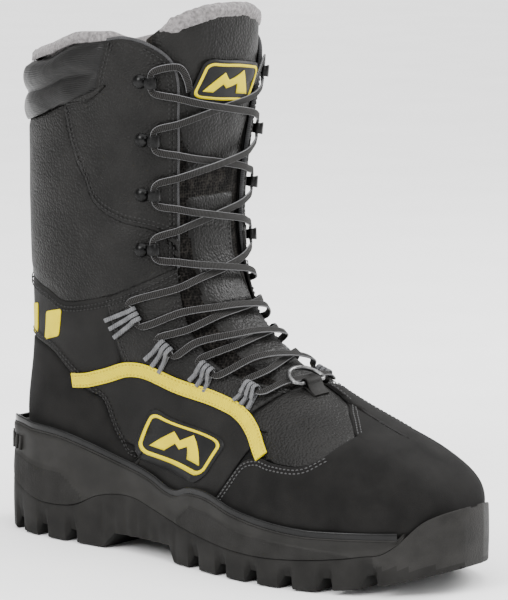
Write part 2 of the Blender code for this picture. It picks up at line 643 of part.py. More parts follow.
def quarters(parts):
    """The lacing quarters, from the throat edge out to the ankle seam and the stripe."""
    rear = np.vstack([run(QUARTER_REAR, 5), run(STRIPE_LINE[3:8], 8)])
    both_sides("quarter", run(THROAT_LOWER, len(rear)), rear, 6, PANEL, SMOOTH, parts)


def side_panels(parts):
    """The low panels between the stripe, the heel counter, the toe cap and the sole."""
    upper = run([(5.83, 0.497), *STRIPE_LINE[2:-1], (8.80, 0.395)], 15) + (0.03, 0.008)
    rear = run([(5.90, 0.506), (6.10, 0.488), (6.44, 0.478), (7.0, 0.478), (7.58, 0.498), (7.92, 0.66)], 10)
    lower = np.vstack([rear, run([(8.02, FEATHER_V), (8.92, FEATHER_V)], 5)])
    both_sides("side_panel", upper, lower, 8, PANEL, NUBUCK, parts)


def vamps(parts):
    """The two grained panels over the toes, each side of the toe cap's centre strip."""
    seam = [(u - 0.03, v - 0.012) for u, v in TOE_SEAM[:3]]
    for side, strip, flip, start in (("medial", STRIP_MEDIAL, 1, 0.19), ("lateral", STRIP_LATERAL, -1, 0.0)):
        outer = run([(8.31, start), *VAMP_OUTER], 12) * (1, flip)
        inner = run([*[(u, v + 0.01 * flip) for u, v in strip], *[(u, v * flip) for u, v in seam]], 12)
        sheet_on_last(f"vamp_{side}", between(outer, inner, 6), PANEL, GRAIN, parts)


def toe_cap(parts):
    """The toe guard: it wraps the toe down to the sole and runs up the centre of the vamp."""
    medial = run(TOE_SEAM[::-1], 12)
    strip = np.vstack([run(STRIP_MEDIAL[::-1], 5), run(STRIP_LATERAL, 5)])
    upper = np.vstack([medial, strip, mirrored(medial[::-1])])
    lower = np.stack([np.full(len(upper), 13.9), np.linspace(0.74, -0.74, len(upper))], -1)
    return sheet_on_last("toe_cap", between(upper, lower, 9), PANEL, NUBUCK, parts)


def strip_edges(path, half_width):
    """The two edges of a strip of constant width in mm along a line of (u, v) places."""
    path = np.asarray(path, float)
    edges = []
    for k, (u, v) in enumerate(path):
        ahead = last_point(*path[min(k + 1, len(path) - 1)]) - last_point(*path[max(k - 1, 0)])
        _, across, down, outward = local_frame(u, v, 0.0)
        side = outward.cross(Vector(ahead)).normalized() * half_width
        edges.append((walk(u, v, side.dot(across), side.dot(down)),
                      walk(u, v, -side.dot(across), -side.dot(down))))
    return np.array(edges)


def stripes(parts):
    for side, flip in (("medial", 1), ("lateral", -1)):
        uv = strip_edges(run(STRIPE_LINE, 16) * (1, flip), 4.0)
        middle = uv.mean(axis=1, keepdims=True)
        uv = np.concatenate([uv[:, :1], middle, uv[:, 1:]], axis=1)
        sheet_on_last(f"stripe_{side}", uv, OVERLAY, YELLOW, parts)


def badges(parts):
    top, right, low, left = TONGUE_BADGE
    uv = between(run([top, right], 5), run([left, low], 5), 4)
    badge = sheet_on_last("tongue_badge", uv, TONGUE_OVERLAY, BADGE, parts)
    top, right, low, left = SIDE_BADGE
    both_sides("side_badge", run([top, right], 6), run([left, low], 6), 4, OVERLAY, BADGE, parts)
    top, low = (round_the_back(run(edge[::-1], 6)) for edge in (HEEL_ACCENT_TOP, HEEL_ACCENT_LOW))
    sheet_on_last("heel_accent", between(top, low, 4), OVERLAY, BADGE, parts)
    return badge


def tongue(parts):
    """The padded tongue, its mesh sides and its fleece, all turning about its sewn lower end."""
    pivot = empty_at("tongue_hinge", (0.0, *TONGUE_HINGE), parts)
    u = np.array([0.14, 0.5, *np.arange(1.0, 8.1, 0.5), 8.15])
    width = interpolate(TONGUE_WIDTH, u)
    uv = between(np.stack([u, width], -1), np.stack([u, -width], -1), 9)
    made = [sheet_on_last("tongue", uv, TONGUE, SMOOTH, parts)]
    u = np.array([0.04, *u[1:-2], 7.9])
    width = interpolate(TONGUE_WIDTH, u) * 0.94
    uv = between(np.stack([u, width], -1), np.stack([u, -width], -1), 9)
    made.append(sheet_on_last("tongue_fleece", uv, TONGUE_FLEECE, FLEECE, parts))
    for side, flip in (("medial", 1), ("lateral", -1)):
        outer, inner = run(MESH_OUTER, 13) * (1, flip), run(MESH_INNER, 13) * (1, flip)
        made.append(sheet_on_last(f"tongue_mesh_{side}", between(outer, inner, 3, 0.1), TONGUE_OVERLAY,
                                  MESH, parts))
    made.append(parts.objects["tongue_badge"])
    for item in made:
        hang_from(item, pivot)


# ---------------------------------------------------------------- lacing

def hook_frame(at, flip):
    u, v = at
    origin, across, down, outward = local_frame(u, v * flip, 0.0)
    return origin, across * -flip, down, outward


def hooks(parts):
    for k, at in enumerate(HOOKS, start=1):
        for side, flip in (("medial", 1), ("lateral", -1)):
            origin, throatward, down, outward = hook_frame(at, flip)
            centres = [origin + throatward * a + outward * h for a, h in HOOK_PATH]
            ribbon(f"lace_hook_{side}_{k}", centres, [down] * len(centres), HOOK_WIDTH / 2,
                   HOOK_THICKNESS, HOOK_METAL, parts)
            rivet(f"rivet_{side}_{k}", origin + outward * 1.75 - throatward * 0.2, outward, parts)


def rivet(name, at, outward, parts):
    bpy.ops.mesh.primitive_uv_sphere_add(segments=12, ring_count=6, radius=RIVET_RADIUS * MM)
    made = bpy.context.object
    made.name = made.data.name = name
    work = bmesh.new()
    work.from_mesh(made.data)
    bmesh.ops.bisect_plane(work, geom=work.verts[:] + work.edges[:] + work.faces[:], plane_co=(0, 0, 0),
                           plane_no=(0, 0, -1), clear_outer=True)
    bmesh.ops.holes_fill(work, edges=[e for e in work.edges if e.is_boundary])
    bmesh.ops.scale(work, vec=(1, 1, RIVET_HEIGHT / RIVET_RADIUS), verts=work.verts)
    work.to_mesh(made.data)
    work.free()
    made.location = Vector(at) * MM
    made.rotation_mode = "QUATERNION"
    made.rotation_quaternion = outward.to_track_quat("Z", "Y")
    made.data.materials.append(material(HOOK_METAL))
    for other in list(made.users_collection):
        other.objects.unlink(made)
    parts.objects.link(made)
    return made


def loop_frame(ends, flip):
    """Tip, direction from root to tip, the eye's axis and the outward direction of a webbing loop."""
    (root_u, root_v), (tip_u, tip_v) = ends
    root, tip = (Vector(last_point(u, v * flip)) for u, v in ((root_u, root_v), (tip_u, tip_v)))
    middle = Vector(last_normal((root_u + tip_u) / 2, (root_v + tip_v) / 2 * flip))
    forward = (tip - root).normalized()
    axis = middle.cross(forward).normalized()
    axis = axis if axis.z > 0 else -axis
    return root, tip, forward, axis, forward.cross(axis) * (1 if forward.cross(axis).dot(middle) > 0 else -1)


def loops(parts, cutters):
    """Webbing loops in three strands: each goes out to the throat, round the lace and back."""
    for k, ends in enumerate(LOOPS, start=1):
        for side, flip in (("medial", 1), ("lateral", -1)):
            root, tip, forward, axis, outward = loop_frame(ends, flip)
            length = (tip - root).length
            eye = length - LOOP_EYE_RADIUS
            low = LOOP_LOW_LIFT
            turn = [(eye + LOOP_EYE_RADIUS * math.cos(t), low + LOOP_EYE_RADIUS * (1 + math.sin(t)))
                    for t in np.radians((-90, -54, -18, 18, 54, 90))]
            path = [(0.0, low), (eye * 0.5, low), *turn, (eye - 3.0, low + 3.6), (eye - 5.0, low + 2.0),
                    (0.0, low + 1.3)]
            rise = [loop_rise(ends, flip, a / length, root, outward) for a, h in path]
            centres = [root + forward * a + outward * (h + r) for (a, h), r in zip(path, rise)]
            name = f"lace_loop_{side}_{k}"
            body = ribbon(name, centres, [axis] * len(centres), LOOP_WIDTH / 2, LOOP_THICKNESS,
                          LOOP_WEB, parts)
            slots = []
            pitch = (LOOP_WIDTH + LOOP_SLOT) / LOOP_STRANDS
            for j in (-0.5, 0.5):
                centre = root + forward * (length / 2 + 3.0) + axis * pitch * j + outward * 3.0
                slots.append(oriented_box(f"slot_{name}_{j}", centre, forward, axis,
                                          (length, LOOP_SLOT, 14.0), parts))
            cut(body, joined(f"slots_{name}", slots, parts), cutters)


def loop_rise(ends, flip, share, root, outward):
    """How far the curved last stands above the straight line from a loop's root to its tip."""
    (root_u, root_v), (tip_u, tip_v) = ends
    share = min(max(share, 0.0), 1.0)
    here = Vector(last_point(root_u + (tip_u - root_u) * share, (root_v + (tip_v - root_v) * share) * flip))
    return (here - root).dot(outward)


def oriented_box(name, centre, x_axis, y_axis, size, collection):
    made = box(name, (0, 0, 0), size, LOOP_WEB, collection)
    turn = Matrix((x_axis, y_axis, x_axis.cross(y_axis))).transposed().to_4x4()
    made.data.transform(Matrix.Translation(centre * MM) @ turn)
    return made


def lace_stations():
    """Places where the lace passes a station, from below to above, by side and number."""
    stations = {}
    for flip in (1, -1):
        for k, at in enumerate(HOOKS):
            origin, throatward, down, outward = hook_frame(at, flip)
            centre = origin + throatward * HOOK_LACE_AT[0] + outward * HOOK_LACE_AT[1]
            stations[flip, k] = [centre + down * d + throatward * t
                                 for d, t in ((5.5, 0.8), (2.6, 0.0), (-2.6, 0.0), (-5.5, 0.8))]
        for k, ends in enumerate(LOOPS, start=len(HOOKS)):
            root, tip, forward, axis, outward = loop_frame(ends, flip)
            centre = tip - forward * LOOP_EYE_RADIUS + outward * (LOOP_LOW_LIFT + LOOP_EYE_RADIUS)
            stations[flip, k] = [centre + axis * d for d in (-7.0, -3.5, 0.0, 3.5, 7.0)]
    return stations


def throat_edge(u):
    return interpolate(THROAT_TOP + THROAT_LOWER, u)


def crossing(start, end, centre_lift, edge_lift):
    """Places where the lace goes over one throat edge, the middle of the tongue and the other edge."""
    (u0, v0), (u1, v1) = start, end
    middle_u = (u0 + u1) / 2
    half = []
    for u_end, v_end in ((u0, v0), (u1, v1)):
        edge = throat_edge(middle_u + (u_end - middle_u) * 0.6) + 0.004
        steps = [(v, lift) for v, lift in ((edge, edge_lift), (0.105, (centre_lift + edge_lift) / 2))
                 if abs(v_end) - v > 0.045 and (v == edge or edge > 0.15)]
        half.append([(middle_u + (u_end - middle_u) * v / abs(v_end), math.copysign(v, v_end), lift)
                     for v, lift in steps])
    places = half[0] + [(middle_u, 0.0, centre_lift)] + half[1][::-1]
    return [Vector(on_last(*p)) for p in places]


def lace_route():
    """One lace: from the end tucked in at one top hook, down, across the lowest loops and up again."""
    stations = lace_stations()
    places = [*HOOKS, *[tip for root, tip in LOOPS]]
    strands = []
    for start, over_steps in ((-1, (1, 3)), (1, (0, 2, 4, 5, 6))):
        flip, points = start, []
        for step, k in enumerate(range(len(places) - 1, -1, -1)):
            points += stations[flip, k]
            if k > 0:
                (u0, v0), (u1, v1) = places[k], places[k - 1]
                over = step in over_steps
                points += crossing((u0 - 0.1, v0 * flip), (u1 + 0.1, -v1 * flip),
                                   LACE_OVER if over else LACE_UNDER,
                                   LACE_EDGE_OVER if over else LACE_EDGE_UNDER)
                flip = -flip
        points += [Vector(on_last(u, v * flip, lift)) for u, v, lift in LACE_END]
        strands.append(points)
    bottom = [Vector(on_last(*p)) for p in LACE_BOTTOM]
    return strands[0][::-1] + bottom + strands[1]


def smooth_through(points, spacing):
    """A smooth curve that passes each hand-chosen place, with a point about every spacing between."""
    points = np.array([tuple(p) for p in points])
    padded = np.vstack([2 * points[0] - points[1], points, 2 * points[-1] - points[-2]])
    lengths = np.linalg.norm(np.diff(padded, axis=0), axis=1)
    knots = np.concatenate([[0], np.cumsum(np.sqrt(lengths))])
    dense = []
    for k in range(1, len(padded) - 2):
        t0, t1, t2, t3 = knots[k - 1:k + 3]
        t = np.linspace(t1, t2, max(1, round(lengths[k] / spacing)), endpoint=False)[:, None]
        p0, p1, p2, p3 = padded[k - 1:k + 3]
        a1 = p0 + (p1 - p0) * (t - t0) / (t1 - t0)
        a2 = p1 + (p2 - p1) * (t - t1) / (t2 - t1)
        a3 = p2 + (p3 - p2) * (t - t2) / (t3 - t2)
        b1 = a1 + (a2 - a1) * (t - t0) / (t2 - t0)
        b2 = a2 + (a3 - a2) * (t - t1) / (t3 - t1)
        dense.append(b1 + (b2 - b1) * (t - t1) / (t2 - t1))
    return np.vstack([*dense, padded[-2:-1]])


def tube(name, points, radius, spec, parts, closed=False, resolution=1):
    curve = bpy.data.curves.new(name, "CURVE")
    curve.dimensions = "3D"
    curve.bevel_depth = radius * MM
    curve.bevel_resolution = resolution
    curve.use_fill_caps = not closed
    spline = curve.splines.new("POLY")
    spline.points.add(len(points) - 1)
    for place_on_curve, p in zip(spline.points, points):
        place_on_curve.co = (*(Vector(p) * MM), 1.0)
    spline.use_cyclic_u = closed
    made = bpy.data.objects.new(name, curve)
    made.data.materials.append(material(spec))
    parts.objects.link(made)
    return made


def lace(parts):
    return tube("lace", smooth_through(lace_route(), LACE_SPACING), LACE_RADIUS, LACE, parts)


def d_ring(parts, cutters):
    """The wire D over the foot of the throat, and the sewn tab that its straight bar turns in."""
    origin, across, down, outward = local_frame(*D_RING_AT, D_RING_LIFT)
    pivot = empty_at("d_ring_hinge", origin, parts)
    half = D_RING_WIDTH / 2 - D_RING_WIRE
    height = D_RING_HEIGHT - 2 * D_RING_WIRE
    outline = [(x, 0.0) for x in np.linspace(-half + 2, half - 2, 6)]
    outline += [(half * math.cos(t), 2.0 + (height - 2.0) * math.sin(t) ** 0.8)
                for t in np.radians(np.linspace(0, 180, 15))]
    points = [origin + across * x - down * y for x, y in outline]
    ring = tube("d_ring", points, D_RING_WIRE, GUNMETAL, parts, closed=True)
    hang_from(ring, pivot)
    tab = oriented_box("d_ring_tab", origin + down * TAB_SHIFT, across, down, TAB_SIZE, parts)
    tab.data.materials.clear()
    tab.data.materials.append(material(SMOOTH))
    bpy.ops.mesh.primitive_cylinder_add(vertices=12, radius=(D_RING_WIRE + 0.5) * MM, depth=0.03)
    bore = bpy.context.object
    bore.name = "d_ring_bore"
    bore.location = origin * MM
    bore.rotation_mode = "QUATERNION"
    bore.rotation_quaternion = across.to_track_quat("Z", "Y")
    cut(tab, bore, cutters)


def pull_strap(parts):
    places = [(u, 1.0, lift) for u, lift in PULL_STRAP]
    centres = [on_last(*p) for p in places]
    return ribbon("pull_strap", centres, [(1.0, 0.0, 0.0)] * len(centres), PULL_STRAP_WIDTH / 2, 1.2,
                  LOOP_WEB, parts)


def main():
    clear_scene()
    parts = new_collection("mountaineering_boots")
    cutters = new_collection("cutters")
    cutters.hide_render = True
    outsole(parts, cutters)
    midsole(parts, cutters)
    shank_plate(parts)
    welt_strip(parts)
    insole_board(parts)
    stiffeners(parts)
    lining_bootie(parts)
    footbed(parts)
    shaft_panels(parts)
    collar_pad(parts)
    rear_shaft_panel(parts)
    ankle_panel(parts)
    heel_counter(parts)
    quarters(parts)
    side_panels(parts)
    vamps(parts)
    toe_cap(parts)
    stripes(parts)
    badges(parts)
    tongue(parts)
    hooks(parts)
    loops(parts, cutters)
    lace(parts)
    d_ring(parts, cutters)
    pull_strap(parts)


main()
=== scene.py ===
"""The finished look of an insulated lace-up winter boot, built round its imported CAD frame.

The toe points to -Y, the heel to +Y, the outer (lateral) side to -X and +Z is up. Dimensions are in
millimetres and are scaled to metres as each mesh is made. The upper is laid out on one surface, the
last, with two coordinates: u runs from the top of the shaft (0) through the ankle (6) to the tip of
the toe (14), and v runs round it, 0 on the front centre line, negative on the lateral side, +1 and
-1 meeting at the back seam and under the foot. A lift is a height above that surface.
"""

import math

import bmesh
import bpy
import numpy as np
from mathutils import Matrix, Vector


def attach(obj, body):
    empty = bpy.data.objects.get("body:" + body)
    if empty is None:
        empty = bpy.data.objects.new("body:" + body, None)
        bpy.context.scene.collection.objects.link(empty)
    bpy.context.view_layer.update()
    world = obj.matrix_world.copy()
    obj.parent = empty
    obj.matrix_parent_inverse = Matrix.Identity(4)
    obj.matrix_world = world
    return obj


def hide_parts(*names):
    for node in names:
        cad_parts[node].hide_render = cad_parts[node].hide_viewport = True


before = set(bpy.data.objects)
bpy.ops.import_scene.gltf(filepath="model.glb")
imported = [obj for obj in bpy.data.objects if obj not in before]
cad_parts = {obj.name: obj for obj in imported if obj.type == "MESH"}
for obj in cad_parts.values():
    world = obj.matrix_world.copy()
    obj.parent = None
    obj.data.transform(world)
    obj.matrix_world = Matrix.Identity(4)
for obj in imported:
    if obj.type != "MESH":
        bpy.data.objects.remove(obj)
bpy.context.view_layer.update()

MM = 0.001

# Sections of the last. Each joins a front point to a back point and has its own half widths.
# front y, front z, back y, back z, lateral, medial, height of the widest place, front and back power
LAST = np.array([
    (6, 306, 141, 306, 52, 58, 0.05, 2.6, 2.3),
    (9, 270, 141, 270, 51, 56, 0.05, 2.6, 2.3),
    (16, 235, 141, 232, 50, 54, 0.05, 2.7, 2.3),
    (20, 200, 141, 192, 49, 52, 0.05, 2.7, 2.3),
    (18, 168, 141, 150, 48, 50, 0.05, 2.7, 2.3),
    (6, 144, 143, 105, 44, 46, 0.0, 2.7, 2.3),
    (-12, 126, 147, 60, 40, 43, -0.1, 2.7, 2.6),
    (-29, 114, 130, 24, 39.5, 43, -0.2, 2.7, 3.0),
    (-46, 104, 50, 20, 43.5, 45, -0.25, 2.7, 3.0),
    (-68, 93, -10, 20, 53, 49, -0.3, 2.6, 3.2),
    (-93, 83, -60, 20, 57, 51, -0.3, 2.5, 3.2),
    (-120, 73, -105, 22, 50, 47, -0.3, 2.5, 3.0),
    (-141, 61, -134, 25, 36, 38, -0.25, 2.5, 2.8),
    (-149.5, 47, -147.5, 30, 18, 21, 0.0, 2.2, 2.4),
    (-152.5, 39.5, -152.5, 37.5, 2, 2, 0.0, 2.0, 2.0),
])
LAST_END = len(LAST) - 1
SHAFT_AXIS_Y = 80.0

FRONT = Vector((0, -1, 0))

# Lift of each layer's outer face.
BACKING_LIFT = -1.1
ANKLE_LIFT, VAMP_LIFT, QUARTER_LIFT, SIDE_LIFT = -0.2, -0.1, 0.1, 0.2
REAR_SHAFT_LIFT, HEEL_LIFT, TOE_LIFT, SHAFT_LIFT = 0.5, 0.5, 0.6, 1.1
STRIPE_LIFT, BADGE_LIFT = 1.4, 1.1
TONGUE_LIFT = -2.6
LINING_LIFT, TONGUE_BACK_LIFT = -7.5, -7.0
FOOTBED_LIFT = -9.3
PANEL_THICKNESS, PANEL_ROUND = 1.5, 1.1
SEAM_RISE = 0.45  # stitches above the face they are sewn into

# Sole outline: distance forward of the heel, lateral and medial half widths.
HEEL_Y = 159.0
SOLE_LENGTH = 318.0
SOLE_PLAN = [
    (0, 8, 8), (3, 17, 17), (12, 30, 30), (30, 40, 41), (55, 44, 46), (85, 44.5, 46),
    (112, 44.5, 46), (140, 48, 48), (170, 54.5, 51), (200, 60, 54), (225, 61, 55), (250, 58, 54),
    (275, 50, 49), (295, 39, 40), (308, 26, 29), (315, 15, 17), (318, 7, 9),
]
SPRING_START, SPRING_RISE = 235.0, 14.0
HEEL_BEVEL_LENGTH, HEEL_BEVEL_RISE = 20.0, 4.0
SHANK_EDGES, SHANK_HEIGHT = (93, 101, 146, 150), 9.0
GROOVES = (24, 46, 69, 168, 191, 214, 237, 260, 283)
GROOVE_SHIFT = -8.0
GROOVE_DEPTH = 6.5
GROOVE_FLOOR_HALF, GROOVE_MOUTH_HALF = 2.0, 4.6
BUMPER_START, BUMPER_LOW = 284.0, 16.0
TRAY_WALL, RUBBER_FLOOR = 5.0, 7.5
FOAM_TOE_END = 298.0
RUBBER_EDGE = [
    (0, 36), (6, 34), (29, 24.5), (42, 21), (58, 20.5), (72, 22.5), (87, 29), (101, 32), (115, 32),
    (131, 28), (146, 24), (159, 21.5), (174, 19), (201, 16), (220, 15.5), (245, 17), (263, 19),
    (279, 21.5), (290, 24), (296, 29), (300, 34), (305, 40), (311, 44), (318, 47),
]
FOAM_EDGE = [
    (0, 57), (9, 61), (37, 61), (60, 59.5), (82, 55), (104, 49.5), (128, 43.5), (143, 38),
    (150, 37.5), (159, 40.5), (173, 41), (198, 35), (220, 31.5), (246, 29.5), (268, 30), (300, 31),
]

# Seams on the medial side as (u, v); the lateral side mirrors them. A repeated point is a corner.
THROAT_TOP = [(0.46, 0.445), (0.42, 0.395), (0.50, 0.32), (0.72, 0.24), (1.03, 0.202),
              (1.54, 0.182), (2.18, 0.16), (3.0, 0.148), (3.66, 0.15), (4.17, 0.17)]
SHAFT_REAR = [(0.47, 0.450), (0.92, 0.468), (1.38, 0.485), (1.52, 0.556), (1.52, 0.556),
              (2.05, 0.53), (2.57, 0.497), (3.02, 0.465), (3.29, 0.38), (3.44, 0.265), (3.66, 0.15)]
COLLAR_SEAM = [(1.38, 0.485), (1.52, 0.556), (1.70, 0.65), (1.80, 0.75), (1.86, 0.88), (1.88, 1.0)]
COLLAR_TOP = [(0.47, 0.452), (0.62, 0.53), (0.85, 0.62), (0.96, 0.75), (1.02, 0.88), (1.04, 1.0)]
ANKLE_SEAM = [(4.16, 0.172), (4.34, 0.295), (4.51, 0.45), (4.49, 0.565), (4.28, 0.64),
              (4.06, 0.775), (3.95, 0.9), (3.92, 1.0)]
QUARTER_REAR = [(4.55, 0.462), (5.3, 0.452), (5.84, 0.44)]
STRIPE_LINE = [(5.72, 0.545), (5.84, 0.487), (5.88, 0.438), (6.09, 0.395), (6.54, 0.35),
               (7.15, 0.305), (7.74, 0.293), (8.19, 0.296), (8.52, 0.308), (8.77, 0.325),
               (9.16, 0.365)]
THROAT_LOWER = [(4.17, 0.17), (4.8, 0.205), (5.4, 0.23), (6.3, 0.228), (7.0, 0.20),
                (7.7, 0.15), (8.22, 0.085)]
HEEL_SEAM = [(4.80, 1.0), (4.84, 0.88), (4.90, 0.775), (5.16, 0.638), (5.71, 0.535),
             (6.07, 0.503), (6.42, 0.49), (7.0, 0.49), (7.55, 0.508), (7.95, 0.66), (8.05, 0.80)]
TOE_SEAM = [(10.13, 0.25), (9.92, 0.332), (9.42, 0.367), (9.12, 0.374), (8.90, 0.41),
            (8.90, 0.485), (8.94, 0.62), (9.0, 0.80)]
STRIP_MEDIAL = [(8.30, 0.155), (8.98, 0.165), (9.6, 0.18), (10.13, 0.22)]
STRIP_LATERAL = [(8.30, 0.028), (8.98, 0.02), (9.6, -0.03), (10.13, -0.10)]
TONGUE_WIDTH = [(0.0, 0.33), (0.4, 0.33), (0.8, 0.30), (1.5, 0.245), (2.5, 0.22), (3.6, 0.215),
                (4.4, 0.24), (5.4, 0.27), (6.3, 0.262), (7.0, 0.235), (7.7, 0.18), (8.2, 0.12)]
TONGUE_TOP = [(0.44, -0.36), (0.30, -0.28), (0.12, -0.17), (0.02, -0.06), (0.03, 0.06),
              (0.14, 0.16), (0.30, 0.26), (0.44, 0.34)]

TONGUE_BADGE = [(0.80, -0.085), (0.96, 0.147), (1.50, 0.088), (1.34, -0.137)]
SIDE_BADGE = [(6.90, 0.412), (8.32, 0.397), (8.47, 0.497), (7.39, 0.492)]

# Lace stations from the top down, on one side: rivets of the hooks, then root and tip of the loops.
HOOKS = [(1.08, 0.332), (2.0, 0.305), (2.86, 0.292), (3.76, 0.300)]
LOOPS = [((5.05, 0.452), (4.89, 0.365)), ((5.95, 0.371), (5.66, 0.312)),
         ((6.82, 0.291), (6.50, 0.235)), ((7.88, 0.257), (7.68, 0.180))]
LOOP_EYE_RADIUS, LOOP_LOW_LIFT = 2.8, 1.05
STRAND_WIDTH, STRAND_THICKNESS, STRAND_PITCH = 2.5, 0.9, 3.1
HOOK_PATH = [(-4.0, 0.9), (2.0, 0.9), (6.0, 0.95), (8.6, 1.7), (9.9, 3.3), (9.8, 5.1), (8.4, 6.6),
             (6.3, 7.0), (4.2, 6.6)]
HOOK_LACE_AT = (7.1, 3.8)
LACE_WIDTH, LACE_THICKNESS = 4.1, 1.25
LACE_OVER, LACE_UNDER = 4.2, 0.6
LACE_EDGE_OVER, LACE_EDGE_UNDER = 3.6, 2.7
LACE_BOTTOM = [(8.0, -0.10, 2.4), (8.0, 0.0, 0.6), (8.0, 0.10, 2.4)]
LACE_END = [(0.86, 0.20, 2.3), (1.05, 0.165, 0.9), (1.25, 0.145, -0.4)]

D_RING_AT, D_RING_LIFT = (8.30, -0.02), 3.4
D_RING_WIRE, D_RING_WIDTH, D_RING_HEIGHT = 1.3, 26.0, 16.0
PULL_STRAP_WIDTH = 16.0
PULL_STRAP = [(2.25, 0.7), (2.45, 0.9), (2.8, 1.7), (3.2, 2.0), (3.5, 1.7), (3.72, 0.9), (3.82, 0.7)]

# The camera stands where the photograph was taken from; the lamps are a name, place, size and power.
CAMERA_PLACE, CAMERA_TARGET = (-1.5640, -1.2678, 0.4520), (0.0, -0.00814, 0.14394)
CAMERA_LENS, CAMERA_SENSOR = 218.5, 36.0
LAMPS = (("key", (-1.6, 0.1, 1.1), 0.8, 30.0), ("front", (-0.6, -2.0, 0.9), 0.9, 16.0),
         ("rim", (1.3, -0.5, 0.9), 0.7, 26.0))
LAMP_TARGET = (0.0, 0.0, 0.12)
FLOOR_HALF, FLOOR_DROP = 40, 0.0004


# ---------------------------------------------------------------- lines

def unit(vectors):
    return vectors / np.linalg.norm(vectors, axis=-1, keepdims=True)


def headings(points):
    """The direction of travel at each point of a line."""
    return unit(np.gradient(points, axis=0))


def distances(points, axis=0):
    """How far each point of a line, or of a grid's lines, lies from the line's start."""
    steps = np.linalg.norm(np.diff(points, axis=axis), axis=-1)
    return np.insert(steps.cumsum(axis=axis), 0, 0.0, axis=axis)


def hermite(t, start, start_slope, end, end_slope):
    """A cubic from start to end with a given slope at each."""
    return ((2 * t**3 - 3 * t**2 + 1) * start + (t**3 - 2 * t**2 + t) * start_slope
            + (3 * t**2 - 2 * t**3) * end + (t**3 - t**2) * end_slope)


# ---------------------------------------------------------------- the last

def last_rows(u):
    """The section values at each u, on a smooth curve through the table's rows."""
    padded = np.vstack([2 * LAST[0] - LAST[1], LAST, 2 * LAST[-1] - LAST[-2]])
    u = np.clip(np.asarray(u, float), -0.4, LAST_END)
    i = np.clip(np.floor(u).astype(int), 0, LAST_END - 1)
    t = (u - i)[..., None]
    p0, p1, p2, p3 = (padded[i + k] for k in range(4))
    return hermite(t, p1, (p2 - p0) / 2, p2, (p3 - p1) / 2)


def last_point(u, v):
    u, v = np.broadcast_arrays(np.asarray(u, float), np.asarray(v, float))
    v = (v + 1) % 2 - 1
    fy, fz, by, bz, lateral, medial, widest, front_power, back_power = np.moveaxis(last_rows(u), -1, 0)
    c, s = np.cos(np.abs(v) * math.pi), np.sin(np.abs(v) * math.pi)
    power = np.where(c >= 0, front_power, back_power)
    reach = np.sign(c) * np.abs(c) ** (2 / power)
    along = widest + np.where(c >= 0, 1 - widest, 1 + widest) * reach
    across = np.sign(v) * np.where(v < 0, lateral, medial) * np.abs(s) ** (2 / power)
    y = (fy + by) / 2 + (fy - by) / 2 * along
    z = (fz + bz) / 2 + (fz - bz) / 2 * along
    return np.stack([across, y, z], -1)


def last_normal(u, v):
    u, v = np.broadcast_arrays(np.asarray(u, float), np.asarray(v, float))
    du, dv = 0.03, 0.006
    low, high = np.clip(u - du, -0.4, LAST_END), np.clip(u + du, -0.4, LAST_END)
    along = last_point(high, v) - last_point(low, v)
    across = last_point(u, v + dv) - last_point(u, v - dv)
    return unit(np.cross(along, across))


def on_last(u, v, lift):
    return last_point(u, v) + last_normal(u, v) * np.asarray(lift)[..., None]


def local_frame(u, v, lift):
    """Origin and axes at a place on the last: across to medial, down the last, outward."""
    outward = Vector(last_normal(u, v))
    across = Vector(last_point(u, v + 0.01) - last_point(u, v - 0.01)).normalized()
    down = outward.cross(across).normalized()
    down = down if down.dot(Vector(last_point(u + 0.05, v) - last_point(u - 0.05, v))) > 0 else -down
    across = down.cross(outward).normalized()
    across = across if across.x >= 0 else -across
    return Vector(on_last(u, v, lift)), across, down, outward


def curve(points, count):
    """A smooth line through (u, v) places, at evenly spaced distances; a repeated place is a corner."""
    points = np.asarray(points, float) * (1.0, 8.0)
    pieces, start = [], 0
    for k in range(1, len(points)):
        if np.allclose(points[k], points[k - 1]):
            pieces.append(points[start:k])
            start = k
    pieces.append(points[start:])
    dense = []
    for piece in pieces:
        padded = np.vstack([2 * piece[0] - piece[1], piece, 2 * piece[-1] - piece[-2]])
        for k in range(1, len(padded) - 2):
            p0, p1, p2, p3 = padded[k - 1:k + 3]
            t = np.linspace(0, 1, 16, endpoint=False)[:, None]
            dense.append(hermite(t, p1, (p2 - p0) / 2, p2, (p3 - p1) / 2))
        dense.append(piece[-1:])
    dense = np.vstack(dense)
    reached = distances(dense)
    at = np.linspace(0, reached[-1], count)
    return np.stack([np.interp(at, reached, dense[:, 0]), np.interp(at, reached, dense[:, 1]) / 8.0], -1)


def mirrored(points):
    return np.asarray(points, float) * (1, -1)


def round_the_back(points):
    """A medial line that ends at v = 1 carried on round the back to the lateral side."""
    points = np.asarray(points, float)
    return np.vstack([points, points[::-1][1:] * (1, -1) + (0, 2)])


def shifted(uv, across_mm):
    """A line on the last moved sideways by a distance in mm, to the left of its direction of travel."""
    uv = np.asarray(uv, float)
    du, dv = 0.02, 0.004
    u, v = uv[:, 0], uv[:, 1]
    step_u = (last_point(u + du, v) - last_point(u - du, v)) / (2 * du)
    step_v = (last_point(u, v + dv) - last_point(u, v - dv)) / (2 * dv)
    ahead = np.gradient(last_point(u, v), axis=0)
    ahead /= np.maximum(np.linalg.norm(ahead, axis=1, keepdims=True), 1e-9)
    side = np.cross(last_normal(u, v), ahead)
    target = side * across_mm
    uu, vv, uv_ = (step_u**2).sum(1), (step_v**2).sum(1), (step_u * step_v).sum(1)
    tu, tv = (step_u * target).sum(1), (step_v * target).sum(1)
    det = uu * vv - uv_**2
    return uv + np.stack([(tu * vv - tv * uv_) / det, (tv * uu - tu * uv_) / det], -1)


